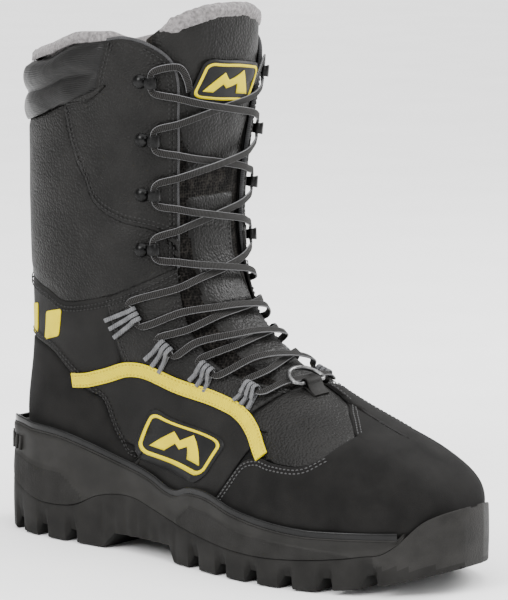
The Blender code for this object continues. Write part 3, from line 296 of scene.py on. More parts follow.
def read(table, at, column=1):
    """A table's column on a smooth curve through its rows."""
    table = np.asarray(table, float)
    x, y = table[:, 0], table[:, column]
    slope = np.gradient(y, x)
    i = np.clip(np.searchsorted(x, at, side="right") - 1, 0, len(x) - 2)
    h = x[i + 1] - x[i]
    t = np.clip((at - x[i]) / h, 0, 1)
    return hermite(t, y[i], h * slope[i], y[i + 1], h * slope[i + 1])


def ripple(points, size, seed=0.0):
    """A smooth, repeatable unevenness of about -1 to 1 over points in mm, with bumps of a given size."""
    p = np.asarray(points) / size
    x, y, z = p[..., 0] + seed, p[..., 1] + 1.7 * seed, p[..., 2] - seed
    return (np.sin(6.3 * x + 2.1 * np.sin(3.1 * y)) * np.cos(5.7 * z + 1.3 * np.sin(4.3 * x))
            + np.sin(4.9 * y + 1.9 * np.sin(3.7 * z))) / 2


# ---------------------------------------------------------------- materials

def add_node(tree, kind, inputs=(), **settings):
    made = tree.nodes.new(kind)
    for key, value in settings.items():
        setattr(made, key, value)
    for key, value in dict(inputs).items():
        if isinstance(value, bpy.types.NodeSocket):
            tree.links.new(value, made.inputs[key])
        else:
            made.inputs[key].default_value = value
    return made


def new_material(name, roughness, metallic=0.0, **sockets):
    made = bpy.data.materials.new(name)
    made.use_nodes = True
    shader = made.node_tree.nodes["Principled BSDF"]
    shader.inputs["Roughness"].default_value = roughness
    shader.inputs["Metallic"].default_value = metallic
    for key, value in sockets.items():
        shader.inputs[key.replace("_", " ")].default_value = value
    return made, made.node_tree, shader


def place_in(tree, by_uv=False):
    """Texture places: the object's own space in metres, or the strip's UV in millimetres."""
    source = add_node(tree, "ShaderNodeTexCoord")
    return source.outputs["UV" if by_uv else "Object"]


def noise(tree, place, size_mm, detail=3.0, by_uv=False, output="Fac"):
    scale = 1.0 / size_mm if by_uv else 1000.0 / size_mm
    made = add_node(tree, "ShaderNodeTexNoise", {"Vector": place, "Scale": scale, "Detail": detail})
    return made.outputs[output]


def mix_colours(tree, factor, dark, light):
    ramp = add_node(tree, "ShaderNodeValToRGB", {"Fac": factor})
    ramp.color_ramp.elements[0].color = (*dark, 1.0)
    ramp.color_ramp.elements[1].color = (*light, 1.0)
    ramp.color_ramp.elements[0].position, ramp.color_ramp.elements[1].position = 0.3, 0.7
    return ramp.outputs["Color"]


def spread(tree, value, low, high):
    """A 0 to 1 value stretched to run from low to high."""
    made = add_node(tree, "ShaderNodeMapRange", {"Value": value, "To Min": low, "To Max": high})
    return made.outputs["Result"]


def bumped(tree, shader, layers):
    """Bump from (height, depth in mm) layers, the coarse ones first."""
    normal = None
    for height, depth in layers:
        inputs = {"Height": height, "Distance": depth * MM, "Strength": 1.0}
        if normal is not None:
            inputs["Normal"] = normal
        normal = add_node(tree, "ShaderNodeBump", inputs).outputs["Normal"]
    tree.links.new(normal, shader.inputs["Normal"])


def leather(name, dark, light, roughness, pebble, depth):
    """Grained leather: rounded pebbles of a given size in mm, parted by fine creases."""
    made, tree, shader = new_material(name, roughness, Specular_IOR_Level=0.12)
    place = place_in(tree)
    warp = noise(tree, place, 3.0, 2.0, output="Color")
    bent = add_node(tree, "ShaderNodeVectorMath", {0: warp, 1: (0.6 * MM,) * 3}, operation="MULTIPLY")
    moved = add_node(tree, "ShaderNodeVectorMath", {0: place, 1: bent.outputs[0]}, operation="ADD")
    cells = add_node(tree, "ShaderNodeTexVoronoi", {"Vector": moved.outputs[0], "Scale": 1000.0 / pebble,
                                                    "Smoothness": 0.6}, feature="SMOOTH_F1")
    crease = spread(tree, cells.outputs["Distance"], 1.0, 0.0)
    tone = noise(tree, place, 24.0, 4.0)
    tree.links.new(mix_colours(tree, tone, dark, light), shader.inputs["Base Color"])
    fine = noise(tree, place, 0.5, 2.0)
    rough = spread(tree, noise(tree, place, 9.0, 3.0), roughness - 0.08, roughness + 0.12)
    tree.links.new(rough, shader.inputs["Roughness"])
    bumped(tree, shader, [(noise(tree, place, 14.0), 0.25), (crease, depth), (fine, 0.06)])
    return made


def nubuck(name, dark, light):
    """Brushed leather: a dull nap with cloudy marks where it has been rubbed."""
    made, tree, shader = new_material(name, 0.95, Specular_IOR_Level=0.08, Sheen_Weight=0.02,
                                      Sheen_Roughness=0.5)
    place = place_in(tree)
    clouds = noise(tree, place, 16.0, 6.0)
    tree.links.new(mix_colours(tree, clouds, dark, light), shader.inputs["Base Color"])
    bumped(tree, shader, [(noise(tree, place, 11.0, 4.0), 0.2), (noise(tree, place, 0.7, 4.0), 0.12)])
    return made


def woven(name, dark, light, pitch, roughness, depth=0.18):
    """Plain-woven webbing: threads crossing at a pitch in mm, over the strip's UV."""
    made, tree, shader = new_material(name, roughness, Specular_IOR_Level=0.15)
    place = place_in(tree, by_uv=True)
    along = add_node(tree, "ShaderNodeTexWave", {"Vector": place, "Scale": 0.314 / pitch * 1.6},
                     bands_direction="X", wave_profile="SIN")
    across = add_node(tree, "ShaderNodeTexWave", {"Vector": place, "Scale": 0.314 / pitch},
                      bands_direction="DIAGONAL", wave_profile="SIN")
    weave = add_node(tree, "ShaderNodeMath", {0: along.outputs["Fac"], 1: across.outputs["Fac"]},
                     operation="MULTIPLY").outputs[0]
    grime = noise(tree, place, 7.0, 4.0, by_uv=True)
    both = add_node(tree, "ShaderNodeMath", {0: weave, 1: grime}, operation="ADD").outputs[0]
    tree.links.new(mix_colours(tree, spread(tree, both, 0.0, 0.8), dark, light), shader.inputs["Base Color"])
    bumped(tree, shader, [(weave, depth), (noise(tree, place, 0.5, 2.0, by_uv=True), 0.05)])
    return made


def spacer_mesh(name, dark, light):
    """Open knitted mesh: dark round holes between lighter threads."""
    made, tree, shader = new_material(name, 0.95, Specular_IOR_Level=0.1)
    place = place_in(tree)
    cells = add_node(tree, "ShaderNodeTexVoronoi", {"Vector": place, "Scale": 620.0, "Randomness": 0.45})
    tone = add_node(tree, "ShaderNodeMath", {0: cells.outputs["Distance"], 1: noise(tree, place, 5.0)},
                    operation="MULTIPLY").outputs[0]
    tree.links.new(mix_colours(tree, spread(tree, tone, 0.0, 1.6), dark, light), shader.inputs["Base Color"])
    bumped(tree, shader, [(noise(tree, place, 6.0), 0.4), (cells.outputs["Distance"], 0.7)])
    return made


def fleece(name, dark, light):
    """Brushed fleece or felt: soft curls with a light sheen."""
    made, tree, shader = new_material(name, 1.0, Sheen_Weight=0.25, Sheen_Roughness=0.4,
                                      Specular_IOR_Level=0.1)
    place = place_in(tree)
    curls = noise(tree, place, 1.9, 6.0)
    tree.links.new(mix_colours(tree, curls, dark, light), shader.inputs["Base Color"])
    bumped(tree, shader, [(noise(tree, place, 4.5, 3.0), 0.9), (curls, 0.9), (noise(tree, place, 0.6), 0.35)])
    return made


def ribbed_stretch(name, dark, light):
    """The collar's stretch fabric: fine ribs along it, with a soft gloss."""
    made, tree, shader = new_material(name, 0.34, Specular_IOR_Level=0.16)
    place = place_in(tree, by_uv=True)
    ribs = add_node(tree, "ShaderNodeTexWave", {"Vector": place, "Scale": 0.24, "Distortion": 0.6,
                                                "Detail": 1.0}, bands_direction="Y").outputs["Fac"]
    tone = noise(tree, place, 9.0, 3.0, by_uv=True)
    tree.links.new(mix_colours(tree, tone, dark, light), shader.inputs["Base Color"])
    bumped(tree, shader, [(noise(tree, place, 6.0, 3.0, by_uv=True), 0.5), (ribs, 0.08)])
    return made


def moulded(name, dark, light, roughness, grain, depth, coat=0.0):
    """Moulded rubber or foam with a fine sandy skin and a little dust."""
    made, tree, shader = new_material(name, roughness, Coat_Weight=coat, Coat_Roughness=0.2,
                                      Specular_IOR_Level=0.1)
    place = place_in(tree)
    dust = noise(tree, place, 13.0, 6.0)
    tree.links.new(mix_colours(tree, dust, dark, light), shader.inputs["Base Color"])
    rough = spread(tree, noise(tree, place, 8.0, 3.0), roughness - 0.07, roughness + 0.1)
    tree.links.new(rough, shader.inputs["Roughness"])
    bumped(tree, shader, [(noise(tree, place, 9.0), 0.12), (noise(tree, place, grain, 3.0), depth)])
    return made


def metal(name, dark, light, roughness):
    """Plated or painted metal, dulled and scratched where things rub it."""
    made, tree, shader = new_material(name, roughness, metallic=1.0)
    place = place_in(tree)
    tree.links.new(mix_colours(tree, noise(tree, place, 3.0, 5.0), dark, light), shader.inputs["Base Color"])
    rough = spread(tree, noise(tree, place, 2.0, 4.0), roughness - 0.08, roughness + 0.15)
    tree.links.new(rough, shader.inputs["Roughness"])
    bumped(tree, shader, [(noise(tree, place, 1.2, 3.0), 0.03)])
    return made


def braid(name, body_dark, body_light, piping):
    """The lace: cross ribs between two light reflective edges, over the strip's UV."""
    made, tree, shader = new_material(name, 0.8, Specular_IOR_Level=0.2)
    place = place_in(tree, by_uv=True)
    ribs = add_node(tree, "ShaderNodeTexWave", {"Vector": place, "Scale": 0.30},
                    bands_direction="X").outputs["Fac"]
    split = add_node(tree, "ShaderNodeSeparateXYZ", {"Vector": place})
    away = add_node(tree, "ShaderNodeMath", {0: split.outputs["Y"]}, operation="ABSOLUTE").outputs[0]
    edge = add_node(tree, "ShaderNodeMapRange", {"Value": away, "From Min": 0.84, "From Max": 0.90})
    core = mix_colours(tree, ribs, body_dark, body_light)
    mixed = tree.nodes.new("ShaderNodeMix")
    mixed.data_type = "RGBA"
    tree.links.new(edge.outputs["Result"], mixed.inputs[0])
    tree.links.new(core, mixed.inputs[6])
    mixed.inputs[7].default_value = (*piping, 1.0)
    tree.links.new(mixed.outputs[2], shader.inputs["Base Color"])
    bumped(tree, shader, [(ribs, 0.3), (noise(tree, place, 0.4, 2.0, by_uv=True), 0.06)])
    return made


GRAIN = leather("grained_leather", (0.0052, 0.0050, 0.0047), (0.0105, 0.0101, 0.0096), 0.46, 1.3, 0.5)
SMOOTH = leather("smooth_leather", (0.0052, 0.0050, 0.0047), (0.0095, 0.0091, 0.0086), 0.60, 0.8, 0.1)
TONGUE_SKIN = leather("tongue_leather", (0.006, 0.0058, 0.0055), (0.011, 0.0106, 0.010), 0.44, 1.5, 0.4)
NUBUCK = nubuck("nubuck", (0.0058, 0.0056, 0.0054), (0.0105, 0.0101, 0.0097))
BACKING = nubuck("backing_felt", (0.004, 0.004, 0.004), (0.007, 0.007, 0.007))
STRETCH = ribbed_stretch("collar_stretch", (0.005, 0.0049, 0.0048), (0.009, 0.0088, 0.0085))
MESH = spacer_mesh("spacer_mesh", (0.003, 0.0028, 0.0026), (0.020, 0.018, 0.016))
FLEECE = fleece("grey_fleece", (0.10, 0.094, 0.094), (0.25, 0.235, 0.235))
YELLOW = woven("yellow_webbing", (0.50, 0.39, 0.0), (0.60, 0.49, 0.0), 0.9, 0.6)
YELLOW_PRINT = moulded("yellow_rubber_print", (0.52, 0.41, 0.0), (0.60, 0.49, 0.0), 0.5, 0.8, 0.03)
BADGE_BLACK = moulded("badge_black_rubber", (0.0075,) * 3, (0.012,) * 3, 0.45, 0.6, 0.03)
GREY_WEB = woven("grey_webbing", (0.045, 0.045, 0.047), (0.15, 0.152, 0.158), 0.8, 0.75)
BLACK_WEB = woven("black_webbing", (0.005, 0.005, 0.005), (0.013, 0.013, 0.013), 0.9, 0.75)
BINDING = woven("edge_binding", (0.022, 0.022, 0.0225), (0.060, 0.060, 0.062), 0.6, 0.7)
LACE = braid("lace_braid", (0.004, 0.0038, 0.0036), (0.022, 0.021, 0.020), (0.13, 0.13, 0.133))
RUBBER = moulded("outsole_rubber", (0.0085, 0.0082, 0.0077), (0.0155, 0.015, 0.0142), 0.62, 0.7, 0.12)
BUMPER = moulded("toe_bumper_rubber", (0.013, 0.0126, 0.012), (0.023, 0.0222, 0.021), 0.56, 0.9, 0.3)
FOAM = moulded("midsole_foam", (0.013, 0.0126, 0.0118), (0.020, 0.0194, 0.0183), 0.55, 0.6, 0.05)
FOAM_INSET = moulded("midsole_inset", (0.0095, 0.0092, 0.0086), (0.016, 0.0155, 0.0147),
                     0.66, 0.9, 0.32)
WELT = moulded("welt_gloss", (0.005, 0.005, 0.005), (0.009, 0.009, 0.009), 0.22, 1.5, 0.03, coat=0.12)
# The black thread is painted lighter than black, a painted highlight that stands in for the light and shade
# which pick the stitches out of the leather.
PAINTED_HIGHLIGHT_THREAD = woven("black_thread_painted_highlight", (0.012, 0.012, 0.012), (0.034, 0.033, 0.032), 0.5, 0.6, 0.05)
PALE_THREAD = woven("grey_thread", (0.035, 0.035, 0.035), (0.085, 0.085, 0.085), 0.5, 0.6, 0.05)
YELLOW_THREAD = woven("gold_thread", (0.30, 0.22, 0.005), (0.5, 0.38, 0.01), 0.5, 0.6, 0.05)
HOOK_METAL = metal("black_hook_metal", (0.010, 0.010, 0.010), (0.020, 0.020, 0.020), 0.26)
GUNMETAL = metal("gunmetal_wire", (0.09, 0.09, 0.09), (0.20, 0.20, 0.20), 0.28)
STEEL = metal("shank_steel", (0.32, 0.33, 0.35), (0.5, 0.51, 0.53), 0.35)
BOARD = moulded("lasting_board", (0.24, 0.19, 0.13), (0.34, 0.27, 0.2), 0.9, 0.9, 0.1)
PLASTIC = moulded("stiffener_plastic", (0.07, 0.07, 0.08), (0.11, 0.11, 0.12), 0.6, 0.8, 0.04)
INSOLE = fleece("footbed_felt", (0.05, 0.05, 0.055), (0.10, 0.10, 0.11))


# ---------------------------------------------------------------- making pieces

def finish_piece(made, material, body, nodes):
    made.data.materials.append(material)
    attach(made, body)
    if nodes:
        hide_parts(*nodes)


def mesh_piece(name, verts, faces, material, body="boot", nodes=(), uvs=None):
    mesh = bpy.data.meshes.new(name)
    mesh.from_pydata([tuple(p) for p in np.asarray(verts, float).reshape(-1, 3) * MM], [], faces)
    if uvs is not None:
        layer = mesh.uv_layers.new(name="strip")
        index = np.empty(len(mesh.loops), np.int32)
        mesh.loops.foreach_get("vertex_index", index)
        layer.data.foreach_set("uv", np.asarray(uvs, np.float32).reshape(-1, 2)[index].reshape(-1))
    mesh.validate()
    mesh.shade_smooth()
    made = add_to_scene(name, mesh)
    finish_piece(made, material, body, nodes)
    return made


def grid_faces(rows, cols, wrap=False):
    last_col = cols if wrap else cols - 1
    return [(r * cols + c, r * cols + (c + 1) % cols, (r + 1) * cols + (c + 1) % cols, (r + 1) * cols + c)
            for r in range(rows - 1) for c in range(last_col)]


def end_faces(rings, count):
    """The two faces that close the ends of a tube of rings."""
    last = (rings - 1) * count
    return [tuple(reversed(range(count))), tuple(range(last, last + count))]


def thicken(made, thickness, offset=-1.0):
    """Gives a sheet its thickness in mm, inward from its face unless the offset says outward."""
    solid = made.modifiers.new("thickness", "SOLIDIFY")
    solid.thickness, solid.offset = thickness * MM, offset


def bevel(made, name, width, degrees):
    """Rounds the edges that are steeper than an angle by a width in mm."""
    edge = made.modifiers.new(name, "BEVEL")
    edge.width, edge.segments = width * MM, 2
    edge.limit_method, edge.angle_limit = "ANGLE", math.radians(degrees)


def outward_normals(made):
    work = bmesh.new()
    work.from_mesh(made.data)
    bmesh.ops.recalc_face_normals(work, faces=work.faces)
    work.to_mesh(made.data)
    work.free()


def face_towards(made, outward):
    """The faces of a sheet turned as one, so that most of them look along a direction."""
    if sum(f.normal.dot(outward) for f in made.data.polygons) < 0:
        made.data.flip_normals()


def sharp_at(made, degrees):
    """Edges steeper than this stay crisp."""
    made.data.set_sharp_from_angle(angle=math.radians(degrees))


def border_distance(points):
    """For each point of a grid, its distance in mm from the nearest border, along the grid's lines."""
    along, across = distances(points), distances(points, 1)
    return np.stack([along, along[-1:] - along, across, across[:, -1:] - across]).min(axis=0)


def panel(name, edge_a, edge_b, rows, cols, lift, material, puff=0.5, nodes=(), relief=None,
          tuck=(0, 0, 0, 0)):
    """A skin piece ruled between two seams: rounded at its edges, a little full between them, and
    drawn out under its neighbours by the tuck in mm at its four sides."""
    a, b = curve(edge_a, cols), curve(edge_b, cols)
    share = np.linspace(0, 1, rows)[:, None, None]
    uv = a * (1 - share) + b * share
    for axis, ends in ((0, tuck[:2]), (1, tuck[2:])):
        lines = np.moveaxis(uv, axis, 0)
        for (edge, inner), out in zip(((0, 1), (-1, -2)), ends):
            gap = last_point(*np.moveaxis(lines[inner], -1, 0)) - last_point(*np.moveaxis(lines[edge], -1, 0))
            length = np.maximum(np.linalg.norm(gap, axis=-1, keepdims=True), 0.6)
            lines[edge] -= (lines[inner] - lines[edge]) * np.minimum(out / length, 3.0)
    flat = on_last(uv[..., 0], uv[..., 1], np.full(uv.shape[:2], lift))
    border = border_distance(flat)
    height = (lift + puff * (1 - np.exp(-border / 6.0))
              - PANEL_ROUND * np.clip(1 - border / (PANEL_ROUND * 1.6), 0, 1) ** 2)
    if relief is not None:
        height = height + relief(border, flat)
    verts = on_last(uv[..., 0], uv[..., 1], height)
    faces = grid_faces(rows, cols)
    middle = faces[len(faces) // 2]
    corners = verts.reshape(-1, 3)[list(middle)]
    outward = last_normal(*uv.reshape(-1, 2)[list(middle)].mean(axis=0))
    if np.dot(np.cross(corners[1] - corners[0], corners[2] - corners[0]), outward) < 0:
        faces = [tuple(reversed(f)) for f in faces]
    made = mesh_piece(name, verts, faces, material, "boot", nodes,
                      np.stack([distances(flat, 1), distances(flat)], -1))
    thicken(made, PANEL_THICKNESS)


def sweep(name, centres, sides, ups, outline, material, body="boot", nodes=(), closed=False,
          widths=None, edge_uv=True):
    """A strip or rod: an outline of (side, up) points swept through centres, closed at both ends."""
    centres, sides, ups = (np.asarray(x, float) for x in (centres, sides, ups))
    outline = np.asarray(outline, float)
    count = len(outline)
    widths = np.ones(len(centres)) if widths is None else np.asarray(widths)
    rings = (centres[:, None] + sides[:, None] * (outline[None, :, :1] * widths[:, None, None])
             + ups[:, None] * outline[None, :, 1:])
    reached = distances(centres)
    half = np.abs(outline[:, 0]).max()
    round_uv = outline[:, 0] / half if edge_uv else outline[:, 0]
    uvs = np.stack(np.broadcast_arrays(reached[:, None], round_uv[None, :]), -1)
    faces = grid_faces(len(rings), count, wrap=True)
    if closed:
        last = (len(rings) - 1) * count
        faces += [(last + c, last + (c + 1) % count, (c + 1) % count, c) for c in range(count)]
    else:
        faces += end_faces(len(rings), count)
    made = mesh_piece(name, rings, faces, material, body, nodes, uvs)
    outward_normals(made)
    sharp_at(made, 60)


def rounded_outline(width, height, corner, count=4):
    """A rounded rectangle as (side, up) points."""
    points = []
    for k, (sx, sy) in enumerate(((1, 1), (-1, 1), (-1, -1), (1, -1))):
        for t in np.linspace(0, math.pi / 2, count):
            angle = t + k * math.pi / 2
            points.append((sx * (width / 2 - corner) + corner * math.cos(angle),
                           sy * (height / 2 - corner) + corner * math.sin(angle)))
    return points


def frames_along(centres, normals, closed=False):
    """Side and up directions for a strip through centres that lies as flat as it can on the normals."""
    centres, normals = np.asarray(centres, float), np.asarray(normals, float)
    if closed:
        ahead = unit(np.roll(centres, -1, axis=0) - np.roll(centres, 1, axis=0))
    else:
        ahead = headings(centres)
    ups = normals - ahead * (normals * ahead).sum(axis=1, keepdims=True)
    ups /= np.maximum(np.linalg.norm(ups, axis=1, keepdims=True), 1e-9)
    return np.cross(ups, ahead), ups


class Thread:
    """Stitches collected for one colour of thread, made into one piece at the end."""

    def __init__(self, name, material, radius):
        self.name, self.material, self.radius = name, material, radius
        self.verts, self.faces = [], []

    def seam(self, line, offset, lift, pitch=2.7, length=1.9):
        """Stitches along a line of (u, v) places, moved sideways by an offset in mm."""
        path = shifted(curve(line, 160), offset)
        points = on_last(path[:, 0], path[:, 1], np.full(len(path), lift))
        normals = last_normal(path[:, 0], path[:, 1])
        reached = distances(points)
        for at in np.arange(pitch / 2, reached[-1] - pitch / 2, pitch):
            ends = [np.array([np.interp(at + d, reached, points[:, k]) for k in range(3)])
                    for d in (-length / 2, 0.0, length / 2)]
            normal = np.array([np.interp(at, reached, normals[:, k]) for k in range(3)])
            self.stitch(*ends, normal)

    def stitch(self, start, middle, end, normal):
        ahead = (end - start) / max(np.linalg.norm(end - start), 1e-6)
        side = np.cross(normal, ahead)
        first = len(self.verts)
        for place, size, sink in ((start, 0.35, -0.35), ((start + middle) / 2, 1.0, 0.0),
                                  ((middle + end) / 2, 1.0, 0.0), (end, 0.35, -0.35)):
            for t in np.radians((0, 60, 120, 180, 240, 300)):
                self.verts.append(place + normal * (sink + self.radius * size * math.sin(t))
                                  + side * (self.radius * size * 1.25 * math.cos(t)))
        faces = grid_faces(4, 6, wrap=True) + end_faces(4, 6)
        self.faces += [tuple(first + k for k in face) for face in faces]

    def finish(self, body):
        made = mesh_piece(self.name, self.verts, self.faces, self.material, body,
                          uvs=np.zeros((len(self.verts), 2)))
        outward_normals(made)


# ---------------------------------------------------------------- sole

def half_widths(s):
    return read(SOLE_PLAN, s, 1), read(SOLE_PLAN, s, 2)


def tread_height(s):
    """Height of the lugs' faces above the ground, with the raised shank between its two edges."""
    rise = SPRING_RISE * max(0.0, (s - SPRING_START) / (SOLE_LENGTH - SPRING_START)) ** 2
    bevel = HEEL_BEVEL_RISE * max(0.0, 1 - s / HEEL_BEVEL_LENGTH) ** 2
    shank = np.interp(s, SHANK_EDGES, [0, SHANK_HEIGHT, SHANK_HEIGHT, 0])
    return rise + bevel + shank


def groove_share(s, side):
    """How much of the groove depth there is at a distance along the sole: 0 on a lug, 1 in a groove."""
    shift = GROOVE_SHIFT if side > 0 else 0.0
    away = min(abs(s - (g + shift)) for g in GROOVES)
    return float(np.interp(away, (GROOVE_FLOOR_HALF, GROOVE_MOUTH_HALF), (1, 0)))


def sole_stations(end=SOLE_LENGTH, step=1.6):
    """Places along the sole: close together everywhere and exact at every groove's corners."""
    places = set(np.round(np.arange(0, end, step), 3)) | {0.4, 1.0, 2.0, end}
    for g in GROOVES:
        for shift in (0.0, GROOVE_SHIFT):
            places |= {g + shift + d * sign for d in (GROOVE_FLOOR_HALF, GROOVE_MOUTH_HALF)
                       for sign in (-1, 1)}
    places |= set(SHANK_EDGES)
    ordered = sorted(p for p in places if 0 <= p <= end)
    kept = [ordered[0]]
    for p in ordered[1:]:
        if p - kept[-1] > 0.25:
            kept.append(p)
    return kept


def solid_from_rings(name, rings, material, nodes, body="boot"):
    rings = np.asarray(rings, float)
    count = rings.shape[1]
    faces = grid_faces(len(rings), count, wrap=True) + end_faces(len(rings), count)
    made = mesh_piece(name, rings, faces, material, body, nodes)
    outward_normals(made)
    return made


def foot_cutter():
    """The space that the finished upper takes up in the sole. It is used as a cutter, then removed."""
    u = np.concatenate([np.arange(5.5, LAST_END - 0.1, 0.12), [LAST_END]])
    v = np.linspace(-1, 1, 121)[:-1]
    grid_u, grid_v = np.meshgrid(u, v, indexing="ij")
    rings = on_last(grid_u, grid_v, np.full(grid_u.shape, 0.35))
    return solid_from_rings("foot_space", rings, FOAM, ())


def cut_once(target, cutter):
    boolean = target.modifiers.new("foot_space", "BOOLEAN")
    boolean.operation = "DIFFERENCE"
    boolean.solver = "EXACT"
    boolean.object = cutter
    settled = bpy.data.meshes.new_from_object(target.evaluated_get(bpy.context.evaluated_depsgraph_get()))
    target.modifiers.remove(boolean)
    target.data = settled


def outsole(cutter):
    """The rubber: lugs with slanted sides, a raised ribbed shank, and a bumper that climbs the toe."""
    rings = []
    columns = np.array([0.0, 0.12, 0.3, 0.55, 0.8, 1.0])
    for s in sole_stations():
        lateral, medial = half_widths(s)
        edge, low, y = float(read(RUBBER_EDGE, s)), tread_height(s), HEEL_Y - s
        floor = min(low + RUBBER_FLOOR, edge - 1.0)
        if s < 4 or s > FOAM_TOE_END + 1:
            floor = edge - 1.0
        halves = []
        for side, width in ((-1, lateral), (1, medial)):
            wall = min(TRAY_WALL, width - 2.0)
            groove = groove_share(s, side)
            shank = float(np.interp(s, (95, 101, 141, 147), (0, 1, 1, 0)))
            root = low + GROOVE_DEPTH * groove * (1 - shank)
            rib = shank * 1.1 * (0.5 + 0.5 * math.cos((s - 100) * 2 * math.pi / 9.0))
            line = 0.55 * float(np.interp(min(abs(s - 92.0), abs(s - 151.5)), (0.8, 1.8), (1, 0)))
            half = [(width - wall, floor), (width - wall, edge - 0.2), (width - wall + 0.6, edge),
                    (width - 0.9, edge), (width - 0.25, edge - 0.35), (width, edge - 1.1)]
            span = edge - 1.1 - root
            for share in (0.15, 0.32, 0.5, 0.66, 0.8, 0.9, 0.965):
                z = edge - 1.1 - span * share
                height = max(z - low, 0.0)
                notch = groove * (1 - shank) * 2.6 * max(0.0, 1 - (height - GROOVE_DEPTH) / 9.0)
                flare = 0.9 * math.sin(math.pi * share)
                half.append((width - notch * min(1.0, 1.6 * share) - rib * share - line
                             + flare * (1 - groove) * 0.6, z))
            half.append((width - 0.9 - groove * (1 - shank) * 2.4 - rib, root + 0.15))
            inner = 10.0
            outer = width - 2.0 - groove * (1 - shank) * 2.4 - rib
            half += [(inner + (outer - inner) * c, root) for c in columns[::-1]]
            half.append((inner - 0.6 * groove, low))
            halves.append([(side * x, y, z) for x, z in half])
        rings.append(halves[0] + halves[1][::-1])
    made = solid_from_rings("outsole_rubber", rings, RUBBER, ("outsole",))
    cut_once(made, cutter)
    made.data.materials.append(BUMPER)
    for face in made.data.polygons:
        centre = face.center / MM
        if centre.y < HEEL_Y - BUMPER_START and centre.z > BUMPER_LOW:
            face.material_index = 1
    bevel(made, "moulded_edges", 0.5, 38)
    sharp_at(made, 45)


def inset_share(s, z):
    """1 inside the textured inset panels of the foam's side, 0 outside, with a sloping rim."""
    heel_top = np.interp(s, (0, 6, 20, 38, 60, 78), (46, 45, 45, 41, 40, 27))
    fore_top = np.interp(s, (150, 162, 180, 205, 240, 275), (25, 34.5, 33, 27, 24.5, 22))
    if s < 80:
        return float(np.clip((heel_top - z) / 0.9, 0, 1) * np.clip((80 - s) / 4, 0, 1))
    if 150 < s < 276:
        return float(np.clip((fore_top - z) / 0.9, 0, 1) * np.clip((s - 150) / 3, 0, 1)
                     * np.clip((276 - s) / 4, 0, 1))
    return 0.0


def midsole(cutter):
    """The foam: smooth above, with raised textured panels at the heel and beside the ball."""
    shares = np.concatenate([[0.0, 0.03], np.linspace(0.08, 0.94, 24), [0.98, 1.0]])
    rings = []
    for s in [2.0, *[s for s in sole_stations(FOAM_TOE_END) if s > 2.3]]:
        lateral, medial = half_widths(s)
        y = HEEL_Y - s
        edge = float(read(RUBBER_EDGE, s)) + 0.15
        top = max(float(read(FOAM_EDGE, s)), edge + 3.0)
        floor = min(tread_height(s) + RUBBER_FLOOR, edge - 0.8) + 0.35
        halves = []
        for side, width in ((-1, lateral), (1, medial)):
            wall = min(TRAY_WALL, width - 2.0) + 0.35
            half = [(width - 1.6, top)]
            for share in shares[1:]:
                z = top - (top - edge) * share
                hollow = 1.0 * math.sin(math.pi * share) ** 2
                corner = 1.2 * (1 - min(1.0, share / 0.05)) ** 2
                raised = 0.8 * inset_share(s, z)
                half.append((width - 0.45 - hollow - corner + raised, z))
            half += [(width - wall, edge), (width - wall, min(floor, edge - 0.3))]
            halves.append([(side * x, y, z) for x, z in half])
        rings.append(halves[0] + halves[1][::-1])
    made = solid_from_rings("midsole_foam", rings, FOAM, ("midsole",))
    cut_once(made, cutter)
    made.data.materials.append(FOAM_INSET)
    for face in made.data.polygons:
        centre = face.center / MM
        s = HEEL_Y - centre.y
        if inset_share(s, centre.z) > 0.75 and abs(face.normal.z) < 0.8:
            face.material_index = 1
    sharp_at(made, 40)


def heel_ribs():
    """Small slanted ribs moulded above the heel's inset panel."""
    for side in (-1, 1):
        for k in range(5):
            s = 5.0 + 4.6 * k
            width = half_widths(s)[0 if side < 0 else 1]
            ahead = half_widths(s + 1.5)[0 if side < 0 else 1]
            low, high = (Vector((side * (w - 0.8), HEEL_Y - at, z))
                         for w, at, z in ((width, s, 47.0), (ahead, s + 1.6, 55.5)))
            centres = [low.lerp(high, t) for t in (0.0, 0.06, 0.5, 0.94, 1.0)]
            out = Vector((side, 0.9 if s < 12 else 0.3, 0)).normalized()
            sides, ups = frames_along(centres, [out] * 5)
            sweep(f"heel_rib_{'medial' if side > 0 else 'lateral'}_{k}", centres, sides, ups,
                  rounded_outline(2.3, 2.2, 0.5), FOAM, widths=(0.5, 0.9, 1.0, 0.9, 0.5))


def welt():
    """The glossy strip that seals the upper to the foam, and the thin bead under it."""
    distances = [s for s in sole_stations(FOAM_TOE_END - 2) if s > 2.2][::2]
    for name, rise, inset, outline, material, nodes in (
            ("welt_strip_gloss", 2.1, 1.7, rounded_outline(4.2, 1.6, 0.7), WELT, ("welt_strip",)),
            ("welt_bead", 0.1, 0.7, rounded_outline(0.9, 0.9, 0.4), FOAM, ())):
        centres = []
        for side, order in ((-1, distances[::-1]), (1, distances)):
            for s in order:
                width = half_widths(s)[0 if side < 0 else 1] - inset
                centres.append((side * width, HEEL_Y - s - 1.0, float(read(FOAM_EDGE, s)) + rise))
        centres = np.array(centres)
        inner = np.stack([np.zeros(len(centres)), np.minimum(centres[:, 1], 110.0), centres[:, 2]], -1)
        sides, ups = frames_along(centres, unit(centres - inner))
        sweep(name, centres, sides, ups, outline, material, nodes=nodes)


# ---------------------------------------------------------------- upper

def side_names(base):
    return ((f"{base}_medial", 1), (f"{base}_lateral", -1))


